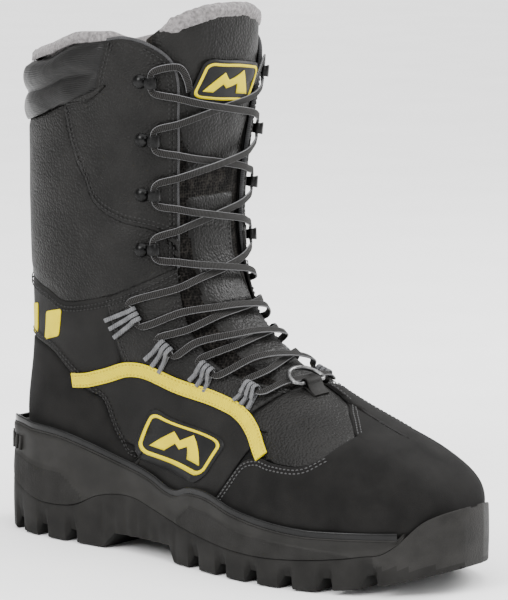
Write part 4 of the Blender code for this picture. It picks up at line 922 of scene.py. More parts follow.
def backing():
    """The black felt behind every seam, from the collar to the sole."""
    columns = np.linspace(0, 1, 121)
    rows = []
    for t in np.linspace(0, 1, 80):
        u_line = 1.5 + (13.85 - 1.5) * t
        edge = np.interp(u_line, [1.5, 3.66, 4.17, 4.8, 5.4, 6.3, 7.0, 7.7, 8.22, 8.5],
                         [0.20, 0.165, 0.185, 0.215, 0.24, 0.238, 0.21, 0.16, 0.095, 0.0])
        v = edge + (2 - 2 * edge) * columns
        rows.append(np.stack([np.full(len(v), u_line), v], -1))
    uv = np.array(rows)
    verts = on_last(uv[..., 0], uv[..., 1], np.full(uv.shape[:2], BACKING_LIFT))
    made = mesh_piece("upper_backing", verts, [tuple(reversed(f)) for f in grid_faces(80, 121)], BACKING,
                      uvs=uv)
    thicken(made, 1.0)


def upper_panels():
    """The leather panels from the top down, each laid a little over or under its neighbours."""
    rear_upper = np.vstack([curve(SHAFT_REAR[4:][::-1], 26), curve(COLLAR_SEAM[1:], 22)[1:]])
    for name, flip in side_names("shaft_panel"):
        panel(f"{name}_skin", mirrored(THROAT_TOP) if flip < 0 else THROAT_TOP,
              mirrored(SHAFT_REAR) if flip < 0 else SHAFT_REAR, 60, 90, SHAFT_LIFT, GRAIN, puff=0.7,
              nodes=(name,), relief=shaft_relief)
    panel("rear_shaft_skin", round_the_back(rear_upper), round_the_back(curve(ANKLE_SEAM, 47)), 70, 150,
          REAR_SHAFT_LIFT, GRAIN, puff=0.6, nodes=("rear_shaft_panel",),
          tuck=(2.5, 0, 0, 0), relief=shaft_relief)
    ankle_low = np.vstack([curve([(5.80, 0.455), (5.70, 0.535)], 6), curve(HEEL_SEAM[:5][::-1], 30)[1:]])
    panel("ankle_skin", round_the_back(curve(ANKLE_SEAM[2:], 35)), round_the_back(ankle_low), 50, 140,
          ANKLE_LIFT, SMOOTH, puff=0.5, nodes=("ankle_panel",), tuck=(3, 3, 1, 1))
    feather = [(6.50, 1.0), (6.55, 0.95), (6.66, 0.90), (6.90, 0.86), (7.2, 0.83), (7.5, 0.82), (8.02, 0.82)]
    panel("heel_counter_skin", round_the_back(curve(HEEL_SEAM[:-1][::-1], 60)),
          round_the_back(curve(feather[::-1], 60)), 50, 150, HEEL_LIFT, NUBUCK, puff=0.4,
          nodes=("heel_counter",), tuck=(0, 2, 0, 0))
    for name, flip in side_names("quarter"):
        rear = np.vstack([curve(QUARTER_REAR, 12), curve(STRIPE_LINE[3:8], 30)])
        inner = curve(THROAT_LOWER, 42)
        panel(f"{name}_skin", inner * (1, flip), rear * (1, flip), 44, 90, QUARTER_LIFT, GRAIN, puff=0.5,
              nodes=(name,), tuck=(0, 3, 3, 0))
    for name, flip in side_names("side_panel"):
        upper = curve([(5.80, 0.51), *STRIPE_LINE[2:-1], (8.84, 0.40)], 50)
        lower = np.vstack([curve([(5.90, 0.520), (6.10, 0.498), (6.44, 0.488), (7.0, 0.488), (7.55, 0.505),
                                  (7.97, 0.66)], 30), curve([(8.06, 0.80), (9.0, 0.80)], 21)[1:]])
        panel(f"{name}_skin", upper * (1, flip), lower * (1, flip), 50, 80, SIDE_LIFT, SMOOTH, puff=0.3,
              nodes=(name,), tuck=(2.5, 1.5, 2, 2.5))
    for name, flip, strip, start in (("vamp_medial", 1, STRIP_MEDIAL, 0.17),
                                     ("vamp_lateral", -1, STRIP_LATERAL, 0.0)):
        outer = curve([(8.22, start), (8.26, 0.285), (8.52, 0.297), (8.79, 0.314), (9.14, 0.355)], 40)
        inner = curve([*[(u, v * flip) for u, v in strip], *TOE_SEAM[:3]], 40)
        panel(f"{name}_skin", outer * (1, flip), inner * (1, flip), 44, 60, VAMP_LIFT, GRAIN, puff=0.5,
              nodes=(name,), tuck=(1, 2.5, 2, 2))
    medial = curve(TOE_SEAM[::-1], 70)
    strip = np.vstack([curve(STRIP_MEDIAL[::-1], 26)[1:], curve(STRIP_LATERAL, 26)])
    upper = np.vstack([medial, strip, mirrored(medial[::-1])[1:]])
    lower = np.stack([np.full(len(upper), 13.97), np.linspace(0.78, -0.78, len(upper))], -1)
    panel("toe_cap_skin", upper, lower, 90, 190, TOE_LIFT, NUBUCK, puff=0.4, nodes=("toe_cap",))


def shaft_relief(border, flat):
    """A soft channel beside the edges where the two rows of stitches pull the leather down."""
    return -0.35 * np.exp(-((border - 3.4) / 1.7) ** 2) + 0.12 * ripple(flat, 34.0)


def seams(black, pale):
    """Two rows of stitches beside every seam of the upper."""
    for flip in (1, -1):
        for offset in (3.0 * flip, 5.2 * flip):
            black.seam(np.array(THROAT_TOP[2:]) * (1, flip), offset, SHAFT_LIFT + SEAM_RISE)
            black.seam(np.array(SHAFT_REAR) * (1, flip), -offset, SHAFT_LIFT + SEAM_RISE)
        for offset in (2.2, 4.2):
            black.seam(np.array(THROAT_LOWER[1:]) * (1, flip), offset * flip, QUARTER_LIFT + SEAM_RISE)
            black.seam(np.array(QUARTER_REAR) * (1, flip), (offset - 5.6) * flip, QUARTER_LIFT + 0.4)
            pale.seam(np.array(TOE_SEAM) * (1, flip), -offset * flip, TOE_LIFT + SEAM_RISE)
            black.seam(np.array(HEEL_SEAM[1:9]) * (1, flip), -offset * flip, HEEL_LIFT + SEAM_RISE)
    for offset in (2.6, 4.8):
        black.seam(round_the_back(curve(ANKLE_SEAM, 60)), -offset, REAR_SHAFT_LIFT + 0.5)
        black.seam(round_the_back(curve(COLLAR_SEAM[1:], 60)), offset, REAR_SHAFT_LIFT + 0.5)
    for strip, side in ((STRIP_MEDIAL, -1), (STRIP_LATERAL, 1)):
        for offset in (2.2, 4.2):
            pale.seam(strip, offset * side, TOE_LIFT + SEAM_RISE)


def bindings():
    """The light cord edge of each eyestay panel."""
    for name, flip in side_names("throat_binding"):
        line = curve(THROAT_TOP, 120) * (1, flip)
        centres = on_last(line[:, 0], line[:, 1], np.full(len(line), SHAFT_LIFT - 0.9))
        sides, ups = frames_along(centres, last_normal(line[:, 0], line[:, 1]))
        sweep(name, centres, sides, ups, rounded_outline(1.7, 2.4, 0.8), BINDING)


def collar():
    """The padded cuff: two soft lobes one above the other, rolled over the top edge to the lining."""
    columns = 150
    top = round_the_back(curve([(0.50, 0.434), *COLLAR_TOP[1:]], columns // 2 + 1))
    low = round_the_back(curve([(1.40, 0.466), (1.47, 0.50), *COLLAR_SEAM[1:]], columns // 2 + 1))
    profile = []
    for t in np.linspace(1.0, 0.52, 14):
        lobe = math.sin(math.pi * np.clip((1.0 - t) / 0.5, 0, 1)) ** 0.55
        profile.append((t, 0.9 + 3.4 * lobe))
    for t in np.linspace(0.48, 0.0, 14):
        lobe = math.sin(math.pi * np.clip((0.48 - t) / 0.52 + 0.04, 0, 1)) ** 0.55
        profile.append((t, 0.7 + 3.0 * lobe))
    inside = [(0.86, -3.6), (0.97, -3.9), (1.03, -2.6), (1.045, -0.8)]
    rows = []
    place = np.arange(len(top))
    taper = np.clip((np.minimum(place, place[::-1]) - 3.0) / 9.0, 0, 1) ** 0.5
    for share, lift in inside + profile:
        uv = low * (1 - share) + top * share
        out = np.where(lift > -0.4, -0.4 + (lift + 0.4) * taper, lift)
        points = on_last(uv[:, 0], uv[:, 1], out)
        wave = ripple(points, 30.0, 2.0)[:, None] * 0.5 * (1.0 if lift > 1.2 else 0.0)
        rows.append(points + last_normal(uv[:, 0], uv[:, 1]) * wave)
    rows = np.array(rows)
    faces = [tuple(reversed(f)) for f in grid_faces(rows.shape[0], rows.shape[1])]
    made = mesh_piece("collar_cuff", rows, faces, STRETCH, nodes=("collar_pad",),
                      uvs=np.stack([distances(rows, 1), distances(rows)], -1))
    face_from_shaft(made)
    thicken(made, 1.0)


def face_from_shaft(made):
    """The faces turned as one, so that most of them look away from the shaft's axis."""
    total = sum(f.normal.dot(Vector((f.center.x, f.center.y - SHAFT_AXIS_Y * MM, 0.0)).normalized()) * f.area
                for f in made.data.polygons)
    if total < 0:
        made.data.flip_normals()


def lining():
    """The fleece inner boot, standing a little above the collar."""
    count = 181
    v = np.linspace(-1, 1, count)[:-1]
    top = np.interp(np.abs(v), [0.30, 0.36, 0.45, 0.53, 0.62, 0.75, 1.0],
                    [0.62, 0.50, 0.36, 0.40, 0.60, 0.76, 0.84])
    rows, lifts = [], []
    for share, lift in ((0.10, -1.6), (0.03, -2.0), (0.0, -3.4), (0.0, -5.2), (0.05, -6.6), (0.16, -7.4)):
        rows.append(top + share * 1.6)
        lifts.append(lift)
    for u in [1.1, 1.4, 1.8, 2.3, *np.arange(2.9, 12.9, 0.5)]:
        rows.append(np.maximum(np.full(v.shape, u), top + 0.4))
        lifts.append(LINING_LIFT)
    grid_u = np.array(rows)
    grid_v = np.broadcast_to(v, grid_u.shape)
    grid_lift = np.broadcast_to(np.array(lifts)[:, None], grid_u.shape)
    points = on_last(grid_u, grid_v, grid_lift)
    bumps = 0.35 * ripple(points, 9.0, 4.0) + 0.25 * ripple(points, 3.5, 1.0)
    points = on_last(grid_u, grid_v, grid_lift + bumps)
    keep = []
    for face in grid_faces(grid_u.shape[0], count - 1, wrap=True):
        us = [grid_u.reshape(-1)[k] for k in face]
        vs = [abs(grid_v.reshape(-1)[k]) for k in face]
        if max(us) < 8.5 and max(vs) < 0.31:
            continue
        keep.append(tuple(reversed(face)))
    verts = points.reshape(-1, 3)
    keep.append(tuple(range(len(verts) - (count - 1), len(verts))))
    made = mesh_piece("fleece_lining", verts, keep, FLEECE, nodes=("lining_bootie",))
    work = bmesh.new()
    work.from_mesh(made.data)
    bmesh.ops.delete(work, geom=[p for p in work.verts if not p.link_faces], context="VERTS")
    bmesh.ops.recalc_face_normals(work, faces=work.faces)
    work.to_mesh(made.data)
    work.free()
    thicken(made, 0.8, 1.0)


def footbed():
    """The loose felt insole, which rides on its own body."""
    u, v = np.linspace(7.6, 12.0, 40), np.linspace(0.86, 1.14, 24)
    uv = np.stack(np.meshgrid(u, v, indexing="ij"), -1)
    verts = on_last(uv[..., 0], uv[..., 1], np.full(uv.shape[:2], FOOTBED_LIFT))
    made = mesh_piece("footbed_felt", verts, [tuple(reversed(f)) for f in grid_faces(40, 24)], INSOLE,
                      body="footbed_insert", nodes=("footbed",))
    thicken(made, 3.6, 1.0)
    bevel(made, "soft_edge", 0.8, 50)


def stripes(gold):
    """The yellow webbing that runs from the ankle to the vamp, with a row of stitches at each edge."""
    for name, flip in side_names("stripe"):
        line = curve(STRIPE_LINE, 90) * (1, flip)
        lift = np.full(len(line), STRIPE_LIFT - 0.1)
        centres = on_last(line[:, 0], line[:, 1], lift)
        sides, ups = frames_along(centres, last_normal(line[:, 0], line[:, 1]))
        sweep(f"{name}_webbing", centres, sides, ups, rounded_outline(8.4, 1.2, 0.5), YELLOW,
              nodes=(name,), edge_uv=False)
        for offset in (-2.9, 2.9):
            gold.seam(np.array(STRIPE_LINE) * (1, flip), offset, STRIPE_LIFT + 0.55, 2.4, 1.6)


def flat_patch(name, corners, outline, lift, material, body, nodes, thickness):
    """A thin flat-cut shape laid on the last: its outline is in the unit square of four corners."""
    top, right, low, left = (np.array(c, float) for c in corners)
    work = bmesh.new()
    ring = [work.verts.new((x, y, 0)) for x, y in outline]
    work.faces.new(ring)
    bmesh.ops.triangulate(work, faces=work.faces)
    bmesh.ops.subdivide_edges(work, edges=work.edges, cuts=3, use_grid_fill=True)
    flat = [v.co.copy() for v in work.verts]
    uv = np.array([(top * (1 - p.x) * (1 - p.y) + right * p.x * (1 - p.y) + low * p.x * p.y
                    + left * (1 - p.x) * p.y) for p in flat])
    points = on_last(uv[:, 0], uv[:, 1], np.full(len(uv), lift)) * MM
    for vert, p in zip(work.verts, points):
        vert.co = p
    bmesh.ops.recalc_face_normals(work, faces=work.faces)
    outward = Vector(last_normal(*uv.mean(axis=0)))
    if sum(f.normal.dot(outward) for f in work.faces) < 0:
        bmesh.ops.reverse_faces(work, faces=work.faces)
    mesh = bpy.data.meshes.new(name)
    work.to_mesh(mesh)
    work.free()
    mesh.shade_smooth()
    made = add_to_scene(name, mesh)
    finish_piece(made, material, body, nodes)
    thicken(made, thickness)


def rounded_square(x0, y0, x1, y1, rx, ry, count=7):
    """A rounded rectangle with points along its straight sides too, so that it can bend with the last."""
    arcs = []
    for cx, cy, sx, sy in ((x1 - rx, y1 - ry, 1, 1), (x0 + rx, y1 - ry, -1, 1),
                           (x0 + rx, y0 + ry, -1, -1), (x1 - rx, y0 + ry, 1, -1)):
        angles = np.linspace(0, math.pi / 2, count)
        angles = angles if sx * sy > 0 else angles[::-1]
        arcs.append([(cx + sx * rx * math.cos(t), cy + sy * ry * math.sin(t)) for t in angles])
    points = []
    for arc, following in zip(arcs, arcs[1:] + arcs[:1]):
        (ax, ay), (bx, by) = arc[-1], following[0]
        points += arc + [(ax + (bx - ax) * t, ay + (by - ay) * t) for t in np.linspace(0, 1, 12)[1:-1]]
    return points


def ring_patch(name, corners, outer, inner, lift, material, body, thickness):
    """A frame between two outlines with the same number of points."""
    top, right, low, left = (np.array(c, float) for c in corners)
    rows = np.array([np.array(outer) * (1 - t) + np.array(inner) * t for t in (0, 0.5, 1)])
    x, y = rows[..., 0:1], rows[..., 1:2]
    uv = top * (1 - x) * (1 - y) + right * x * (1 - y) + low * x * y + left * (1 - x) * y
    verts = on_last(uv[..., 0], uv[..., 1], np.full(uv.shape[:2], lift))
    made = mesh_piece(name, verts, grid_faces(3, len(outer), wrap=True), material, body, ())
    face_towards(made, Vector(last_normal(*uv.reshape(-1, 2).mean(axis=0))))
    thicken(made, thickness)


PEAKS = [(0.14, 0.80), (0.37, 0.24), (0.47, 0.44), (0.60, 0.16), (0.88, 0.80), (0.66, 0.80),
         (0.585, 0.52), (0.50, 0.66), (0.43, 0.55), (0.33, 0.80)]


def badge(name, corners, lift, body, nodes):
    """A black rubber plate with a raised yellow frame round a plain twin-peak mark."""
    plate = rounded_square(-0.05, -0.09, 1.05, 1.09, 0.17, 0.24)
    frame_out = rounded_square(0.0, 0.0, 1.0, 1.0, 0.15, 0.20)
    frame_in = rounded_square(0.045, 0.075, 0.955, 0.925, 0.11, 0.14)
    flat_patch(f"{name}_plate", corners, plate, lift, BADGE_BLACK, body, nodes, 0.9)
    ring_patch(f"{name}_frame", corners, frame_out, frame_in, lift + 0.35, YELLOW_PRINT, body,
               0.6)
    flat_patch(f"{name}_mark", corners, PEAKS, lift + 0.35, YELLOW_PRINT, body, (),
               0.6)


def badges():
    """The tongue's badge, one on each side, and the row of slanted bars across the heel."""
    badge("tongue_badge", TONGUE_BADGE, TONGUE_LIFT + 3.0, "tongue_pad", ("tongue_badge",))
    for name, flip in side_names("side_badge"):
        corners = np.array(SIDE_BADGE) * (1, flip)
        badge(name, corners, BADGE_LIFT, "boot", (name,))
    for k in range(6):
        v = 0.66 + 0.136 * k
        top = 4.62 - 0.30 * min(1.0, abs((v if v <= 1 else 2.0 - v) - 0.62) / 0.3)
        bar = [(top, v), (top, v + 0.075), (top + 0.40, v + 0.055), (top + 0.40, v - 0.02)]
        flat_patch(f"heel_bar_{k}", bar, rounded_square(0, 0, 1, 1, 0.12, 0.12), 0.75, YELLOW_PRINT,
                   "boot", ("heel_accent",) if k == 0 else (), 0.7)


# ---------------------------------------------------------------- tongue

def tongue(black):
    """The padded tongue: grained leather above and below, knitted mesh at its sides and flex zones."""
    rows, cols = 230, 56
    u = np.linspace(0.02, 8.18, rows)
    share = np.linspace(-1, 1, cols)
    width = read(TONGUE_WIDTH, u)
    top = np.interp(np.abs(share), [0, 0.3, 0.6, 0.85, 1], [0.0, 0.02, 0.12, 0.28, 0.44])
    grid_u = u[:, None] + top[None, :] * np.clip(1 - (u[:, None] - 0.02) / 1.2, 0, 1)
    grid_v = width[:, None] * share[None, :]
    flat = on_last(grid_u, grid_v, np.full(grid_u.shape, TONGUE_LIFT))
    border = border_distance(flat)
    zone = tongue_zone(grid_u, np.abs(grid_v))
    seam = np.zeros_like(zone)
    seam[1:-1, 1:-1] = (np.abs(zone[2:, 1:-1] - zone[:-2, 1:-1])
                        + np.abs(zone[1:-1, 2:] - zone[1:-1, :-2])) / 2
    full = 0.9 * (1 - np.exp(-border / 7.0)) - 0.8 * np.clip(1 - border / 2.0, 0, 1) ** 2
    height = TONGUE_LIFT + full - 0.9 * zone - 0.5 * seam + 0.25 * ripple(flat, 26.0, 3.0)
    tuck = np.clip((np.abs(grid_v) - 0.26) / 0.06, 0, 1) * np.clip((1.6 - grid_u) / 0.6, 0, 1)
    verts = on_last(grid_u, grid_v, height - 1.2 * tuck)
    faces = grid_faces(rows, cols)
    made = mesh_piece("tongue_face", verts, faces, TONGUE_SKIN, "tongue_pad",
                      ("tongue", "tongue_mesh_medial", "tongue_mesh_lateral"))
    face_towards(made, FRONT)
    made.data.materials.append(MESH)
    flat_zone = zone.reshape(-1)
    for face in made.data.polygons:
        if np.mean([flat_zone[k] for k in face.vertices]) > 0.5:
            face.material_index = 1
    thicken(made, 2.2)
    for sign in (1, -1):
        black.seam([(u, v * sign) for u, v in ((1.0, 0.20), (1.7, 0.128), (2.3, 0.105), (2.5, 0.10))], 0.0,
                   TONGUE_LIFT + 0.9)
        for line in (((3.25, 0.09), (3.66, 0.078), (4.3, 0.084), (4.9, 0.108), (5.05, 0.11)),
                     ((5.35, 0.125), (6.0, 0.13), (6.5, 0.12))):
            black.seam([(u, v * sign) for u, v in line], -1.6 * sign, TONGUE_LIFT + 0.9)


def tongue_zone(u, v):
    """1 where the tongue is mesh: its two sides below the badge, and the bands where it bends."""
    inner = np.interp(u, [1.6, 1.9, 2.3, 3.0, 3.66, 4.3, 4.9, 5.4, 6.3, 7.0, 7.6],
                      [0.30, 0.155, 0.115, 0.095, 0.086, 0.092, 0.115, 0.13, 0.135, 0.125, 0.10])
    side = np.clip((v - inner) / 0.008 + 0.5, 0, 1)
    bands = np.zeros_like(u)
    for low, high in ((2.52, 3.02), (5.02, 5.28), (6.62, 6.86), (7.75, 8.3)):
        bands = np.maximum(bands, np.clip((u - low) / 0.05, 0, 1) * np.clip((high - u) / 0.05, 0, 1))
    return np.maximum(side, bands)


def fleece_roll():
    """The thick fleece edge round the tongue's top, and the fleece down its back."""
    line = curve(TONGUE_TOP[1:-1], 110)
    centres = on_last(line[:, 0] - 0.03, line[:, 1], np.full(len(line), -4.6))
    centres[:, 2] -= 2.4 + 0.8 * np.linspace(-1, 1, 110) ** 2
    normals = last_normal(line[:, 0], line[:, 1])
    sides, ups = frames_along(centres, normals)
    turns = np.linspace(0, 2 * math.pi, 28, endpoint=False)
    ends = np.clip(np.minimum(np.arange(110), np.arange(110)[::-1]) / 12.0, 0.08, 1) ** 0.5
    rings = []
    for k, (c, s, h) in enumerate(zip(centres, sides, ups)):
        rings.append([c + (s * 4.6 * math.cos(t) + h * 3.7 * math.sin(t)) * ends[k] for t in turns])
    rings = np.array(rings)
    middle = rings.mean(axis=1, keepdims=True)
    away = rings - middle
    away /= np.maximum(np.linalg.norm(away, axis=2, keepdims=True), 1e-6)
    rings += away * (0.5 * ripple(rings, 7.0, 5.0) + 0.3 * ripple(rings, 3.0, 2.0))[..., None]
    faces = grid_faces(len(rings), 28, wrap=True) + end_faces(len(rings), 28)
    roll = mesh_piece("tongue_fleece_roll", rings, faces, FLEECE, "tongue_pad", ("tongue_fleece",))
    outward_normals(roll)
    u, share = np.linspace(0.46, 7.9, 90), np.linspace(-1, 1, 30)
    width = read(TONGUE_WIDTH, u) * 0.92
    grid_u = u[:, None] + np.zeros(30)
    grid_v = np.minimum(width, 0.29)[:, None] * share[None, :]
    points = on_last(grid_u, grid_v, np.full(grid_u.shape, TONGUE_BACK_LIFT))
    verts = on_last(grid_u, grid_v, TONGUE_BACK_LIFT + 0.3 * ripple(points, 8.0, 1.0))
    back = mesh_piece("tongue_fleece_back", verts, grid_faces(90, 30), FLEECE, "tongue_pad", ())
    face_towards(back, FRONT)
    thicken(back, 3.0)


# ---------------------------------------------------------------- lacing

def hook_frame(at, flip):
    """A hook's foot on the last, and its axes: towards the throat, down the last, outward."""
    u, v = at
    origin, across, down, outward = local_frame(u, v * flip, 0.0)
    return origin, across * -flip, down, outward


def smooth_line(points, count):
    """A smooth line through points in space, at evenly spaced distances."""
    points = np.array([tuple(p) for p in points], float)
    padded = np.vstack([2 * points[0] - points[1], points, 2 * points[-1] - points[-2]])
    lengths = np.linalg.norm(np.diff(padded, axis=0), axis=1)
    knots = np.concatenate([[0], np.cumsum(np.sqrt(lengths))])
    dense = []
    for k in range(1, len(padded) - 2):
        t0, t1, t2, t3 = knots[k - 1:k + 3]
        t = np.linspace(t1, t2, 12, endpoint=False)[:, None]
        p0, p1, p2, p3 = padded[k - 1:k + 3]
        a1 = p0 + (p1 - p0) * (t - t0) / (t1 - t0)
        a2 = p1 + (p2 - p1) * (t - t1) / (t2 - t1)
        a3 = p2 + (p3 - p2) * (t - t2) / (t3 - t2)
        b1 = a1 + (a2 - a1) * (t - t0) / (t2 - t0)
        b2 = a2 + (a3 - a2) * (t - t1) / (t3 - t1)
        dense.append(b1 + (b2 - b1) * (t - t1) / (t2 - t1))
    dense = np.vstack([*dense, points[-1:]])
    reached = distances(dense)
    at = np.linspace(0, reached[-1], count)
    return np.stack([np.interp(at, reached, dense[:, k]) for k in range(3)], -1)


def hooks():
    """Each speed hook: a foot under a domed rivet, and an arm that curls up and back over the lace."""
    for name_side, flip in (("medial", 1), ("lateral", -1)):
        for k, at in enumerate(HOOKS, start=1):
            origin, throatward, down, outward = hook_frame(at, flip)
            lift = outward * 0.75
            path = smooth_line([origin + lift + throatward * a + outward * h for a, h in HOOK_PATH], 44)
            along = np.linspace(0, 1, 44)
            width = np.interp(along, [0, 0.05, 0.15, 0.36, 0.5, 0.85, 0.95, 1],
                              [0.45, 0.85, 1.05, 0.72, 0.72, 0.95, 0.8, 0.45])
            sides = np.tile(np.array(down), (44, 1))
            sweep(f"lace_hook_{name_side}_{k}_arm", path, sides, np.cross(sides, headings(path)),
                  rounded_outline(7.4, 1.15, 0.5), HOOK_METAL, nodes=(f"lace_hook_{name_side}_{k}",),
                  widths=width)
            dome(f"rivet_{name_side}_{k}_dome", origin + outward * 2.15 - throatward * 0.2, outward, down,
                 (f"rivet_{name_side}_{k}",))


def dome(name, at, outward, across, nodes):
    """A rivet head: a low dome with a rolled rim."""
    profile = [(0.0, 1.9), (1.2, 1.8), (2.2, 1.45), (3.0, 0.95), (3.5, 0.5), (3.8, 0.2), (3.95, 0.0),
               (3.9, -0.4), (0.0, -0.5)]
    other = outward.cross(across)
    verts, count = [], 28
    for r, h in profile[1:-1]:
        verts += [at + outward * h + (across * math.cos(t) + other * math.sin(t)) * r
                  for t in np.linspace(0, 2 * math.pi, count, endpoint=False)]
    faces = grid_faces(len(profile) - 2, count, wrap=True)
    top, low = len(verts), len(verts) + 1
    verts += [at + outward * profile[0][1], at + outward * profile[-1][1]]
    last = (len(profile) - 3) * count
    faces += [(top, (c + 1) % count, c) for c in range(count)]
    faces += [(low, last + c, last + (c + 1) % count) for c in range(count)]
    made = mesh_piece(name, verts, faces, HOOK_METAL, "boot", nodes)
    outward_normals(made)


def loop_frame(ends, flip):
    """Root, tip, direction from root to tip, the eye's axis and the outward direction of a loop."""
    (root_u, root_v), (tip_u, tip_v) = ends
    root, tip = (Vector(last_point(u, v * flip)) for u, v in ((root_u, root_v), (tip_u, tip_v)))
    middle = Vector(last_normal((root_u + tip_u) / 2, (root_v + tip_v) / 2 * flip))
    forward = (tip - root).normalized()
    axis = middle.cross(forward).normalized()
    axis = axis if axis.z > 0 else -axis
    return root, tip, forward, axis, forward.cross(axis) * (1 if forward.cross(axis).dot(middle) > 0 else -1)


def loop_rise(ends, flip, share, root, outward):
    """How far the curved last stands above the straight line from a loop's root to its tip."""
    (root_u, root_v), (tip_u, tip_v) = ends
    share = min(max(share, 0.0), 1.0)
    here = Vector(last_point(root_u + (tip_u - root_u) * share, (root_v + (tip_v - root_v) * share) * flip))
    return (here - root).dot(outward)


def loops():
    """Three strands of grey webbing a side at each low station, spread at the root and round the lace."""
    for name_side, flip in (("medial", 1), ("lateral", -1)):
        for k, ends in enumerate(LOOPS, start=1):
            root, tip, forward, axis, outward = loop_frame(ends, flip)
            length = (tip - root).length
            eye, low = length - LOOP_EYE_RADIUS, LOOP_LOW_LIFT
            turn = [(eye + LOOP_EYE_RADIUS * math.cos(t), low + LOOP_EYE_RADIUS * (1 + math.sin(t)))
                    for t in np.radians((-90, -54, -18, 18, 54, 90))]
            path = [(-2.5, low), (eye * 0.5, low), *turn, (eye - 3.0, low + 3.9), (eye - 5.5, low + 2.2),
                    (eye * 0.35, low + 1.3), (-2.5, low + 1.1)]
            for j in (-1, 0, 1):
                centres = []
                for a, h in path:
                    rise = loop_rise(ends, flip, a / length, root, outward)
                    fan = j * (STRAND_PITCH + 2.0 * max(0.0, 1 - a / max(eye, 1.0)))
                    centres.append(root + forward * a + outward * (h + rise) + axis * fan)
                centres = smooth_line(centres, 60)
                ahead = headings(centres)
                sides = np.tile(np.array(axis), (60, 1))
                sides = unit(sides - ahead * (sides * ahead).sum(1, keepdims=True))
                sweep(f"lace_loop_{name_side}_{k}_strand_{j + 2}", centres, sides, np.cross(sides, ahead),
                      rounded_outline(STRAND_WIDTH, STRAND_THICKNESS, 0.4, 3), GREY_WEB,
                      nodes=(f"lace_loop_{name_side}_{k}",) if j == 0 else (),
                      edge_uv=False)


def lace_stations():
    """Places where the lace passes a station, from below to above, by side and number."""
    stations = {}
    for flip in (1, -1):
        for k, at in enumerate(HOOKS):
            origin, throatward, down, outward = hook_frame(at, flip)
            centre = origin + throatward * HOOK_LACE_AT[0] + outward * (HOOK_LACE_AT[1] + 0.75)
            stations[flip, k] = [centre + down * d + throatward * t
                                 for d, t in ((5.5, 0.8), (2.6, 0.0), (-2.6, 0.0), (-5.5, 0.8))]
        for k, ends in enumerate(LOOPS, start=len(HOOKS)):
            _, tip, forward, axis, outward = loop_frame(ends, flip)
            centre = tip - forward * LOOP_EYE_RADIUS + outward * (LOOP_LOW_LIFT + LOOP_EYE_RADIUS)
            stations[flip, k] = [centre + axis * d for d in (-7.0, -3.5, 0.0, 3.5, 7.0)]
    return stations


def throat_edge(u):
    """How far round the last the throat's edge is at a height."""
    line = np.array(THROAT_TOP[1:-1] + THROAT_LOWER)
    return float(np.interp(u, line[:, 0], line[:, 1]))


def crossing(start, end, centre_lift, edge_lift):
    """Places where the lace goes over one throat edge, the middle of the tongue and the other edge."""
    (u0, v0), (u1, v1) = start, end
    middle_u = (u0 + u1) / 2
    half = []
    for u_end, v_end in ((u0, v0), (u1, v1)):
        edge = throat_edge(middle_u + (u_end - middle_u) * 0.6) + 0.004
        steps = [(v, lift) for v, lift in ((edge, edge_lift), (0.105, (centre_lift + edge_lift) / 2))
                 if abs(v_end) - v > 0.045 and (v == edge or edge > 0.15)]
        half.append([(middle_u + (u_end - middle_u) * v / abs(v_end), math.copysign(v, v_end), lift)
                     for v, lift in steps])
    places = half[0] + [(middle_u, 0.0, centre_lift)] + half[1][::-1]
    return [Vector(on_last(*p)) for p in places]


def lace_route():
    """One lace: from the end tucked in at one top hook, down, across the lowest loops and up again."""
    stations = lace_stations()
    places = [*HOOKS, *[tip for _, tip in LOOPS]]
    strands = []
    for start, over_steps in ((-1, (1, 3)), (1, (0, 2, 4, 5, 6))):
        flip, points = start, []
        for step, k in enumerate(range(len(places) - 1, -1, -1)):
            points += stations[flip, k]
            if k > 0:
                (u0, v0), (u1, v1) = places[k], places[k - 1]
                over = step in over_steps
                points += crossing((u0 - 0.1, v0 * flip), (u1 + 0.1, -v1 * flip),
                                   LACE_OVER if over else LACE_UNDER,
                                   LACE_EDGE_OVER if over else LACE_EDGE_UNDER)
                flip = -flip
        points += [Vector(on_last(u, v * flip, lift)) for u, v, lift in LACE_END]
        strands.append(points)
    bottom = [Vector(on_last(*p)) for p in LACE_BOTTOM]
    return strands[0][::-1] + bottom + strands[1]


def surface_normals(points):
    """The last's outward direction nearest to each point in front of the throat."""
    u, v = np.meshgrid(np.linspace(0.3, 9.0, 175), np.linspace(-0.5, 0.5, 81), indexing="ij")
    places, normals = last_point(u, v).reshape(-1, 3), last_normal(u, v).reshape(-1, 3)
    found = np.array([normals[np.argmin(((places - p) ** 2).sum(axis=1))] for p in points])
    for _ in range(6):
        found[1:-1] = found[:-2] + 2 * found[1:-1] + found[2:]
        found = unit(found)
    return found


def lace():
    """The flat lace, which lies flat across the tongue and crumples narrower where it turns a hook."""
    route = lace_route()
    length = sum((b - a).length for a, b in zip(route, route[1:]))
    centres = smooth_line(route, int(length))
    sides, ups = frames_along(centres, surface_normals(centres))
    bend = np.abs((np.gradient(headings(centres), axis=0) * sides).sum(axis=1))
    narrow = np.clip(1.35 / np.maximum(bend * LACE_WIDTH / 2, 0.2) * 0.33, 0.42, 1.0)
    for _ in range(3):
        narrow[1:-1] = (narrow[:-2] + 2 * narrow[1:-1] + narrow[2:]) / 4
    sweep("lace_braid_strip", centres, sides, ups, rounded_outline(LACE_WIDTH, LACE_THICKNESS, 0.55, 3),
          LACE, nodes=("lace",), widths=narrow)


# ---------------------------------------------------------------- small parts

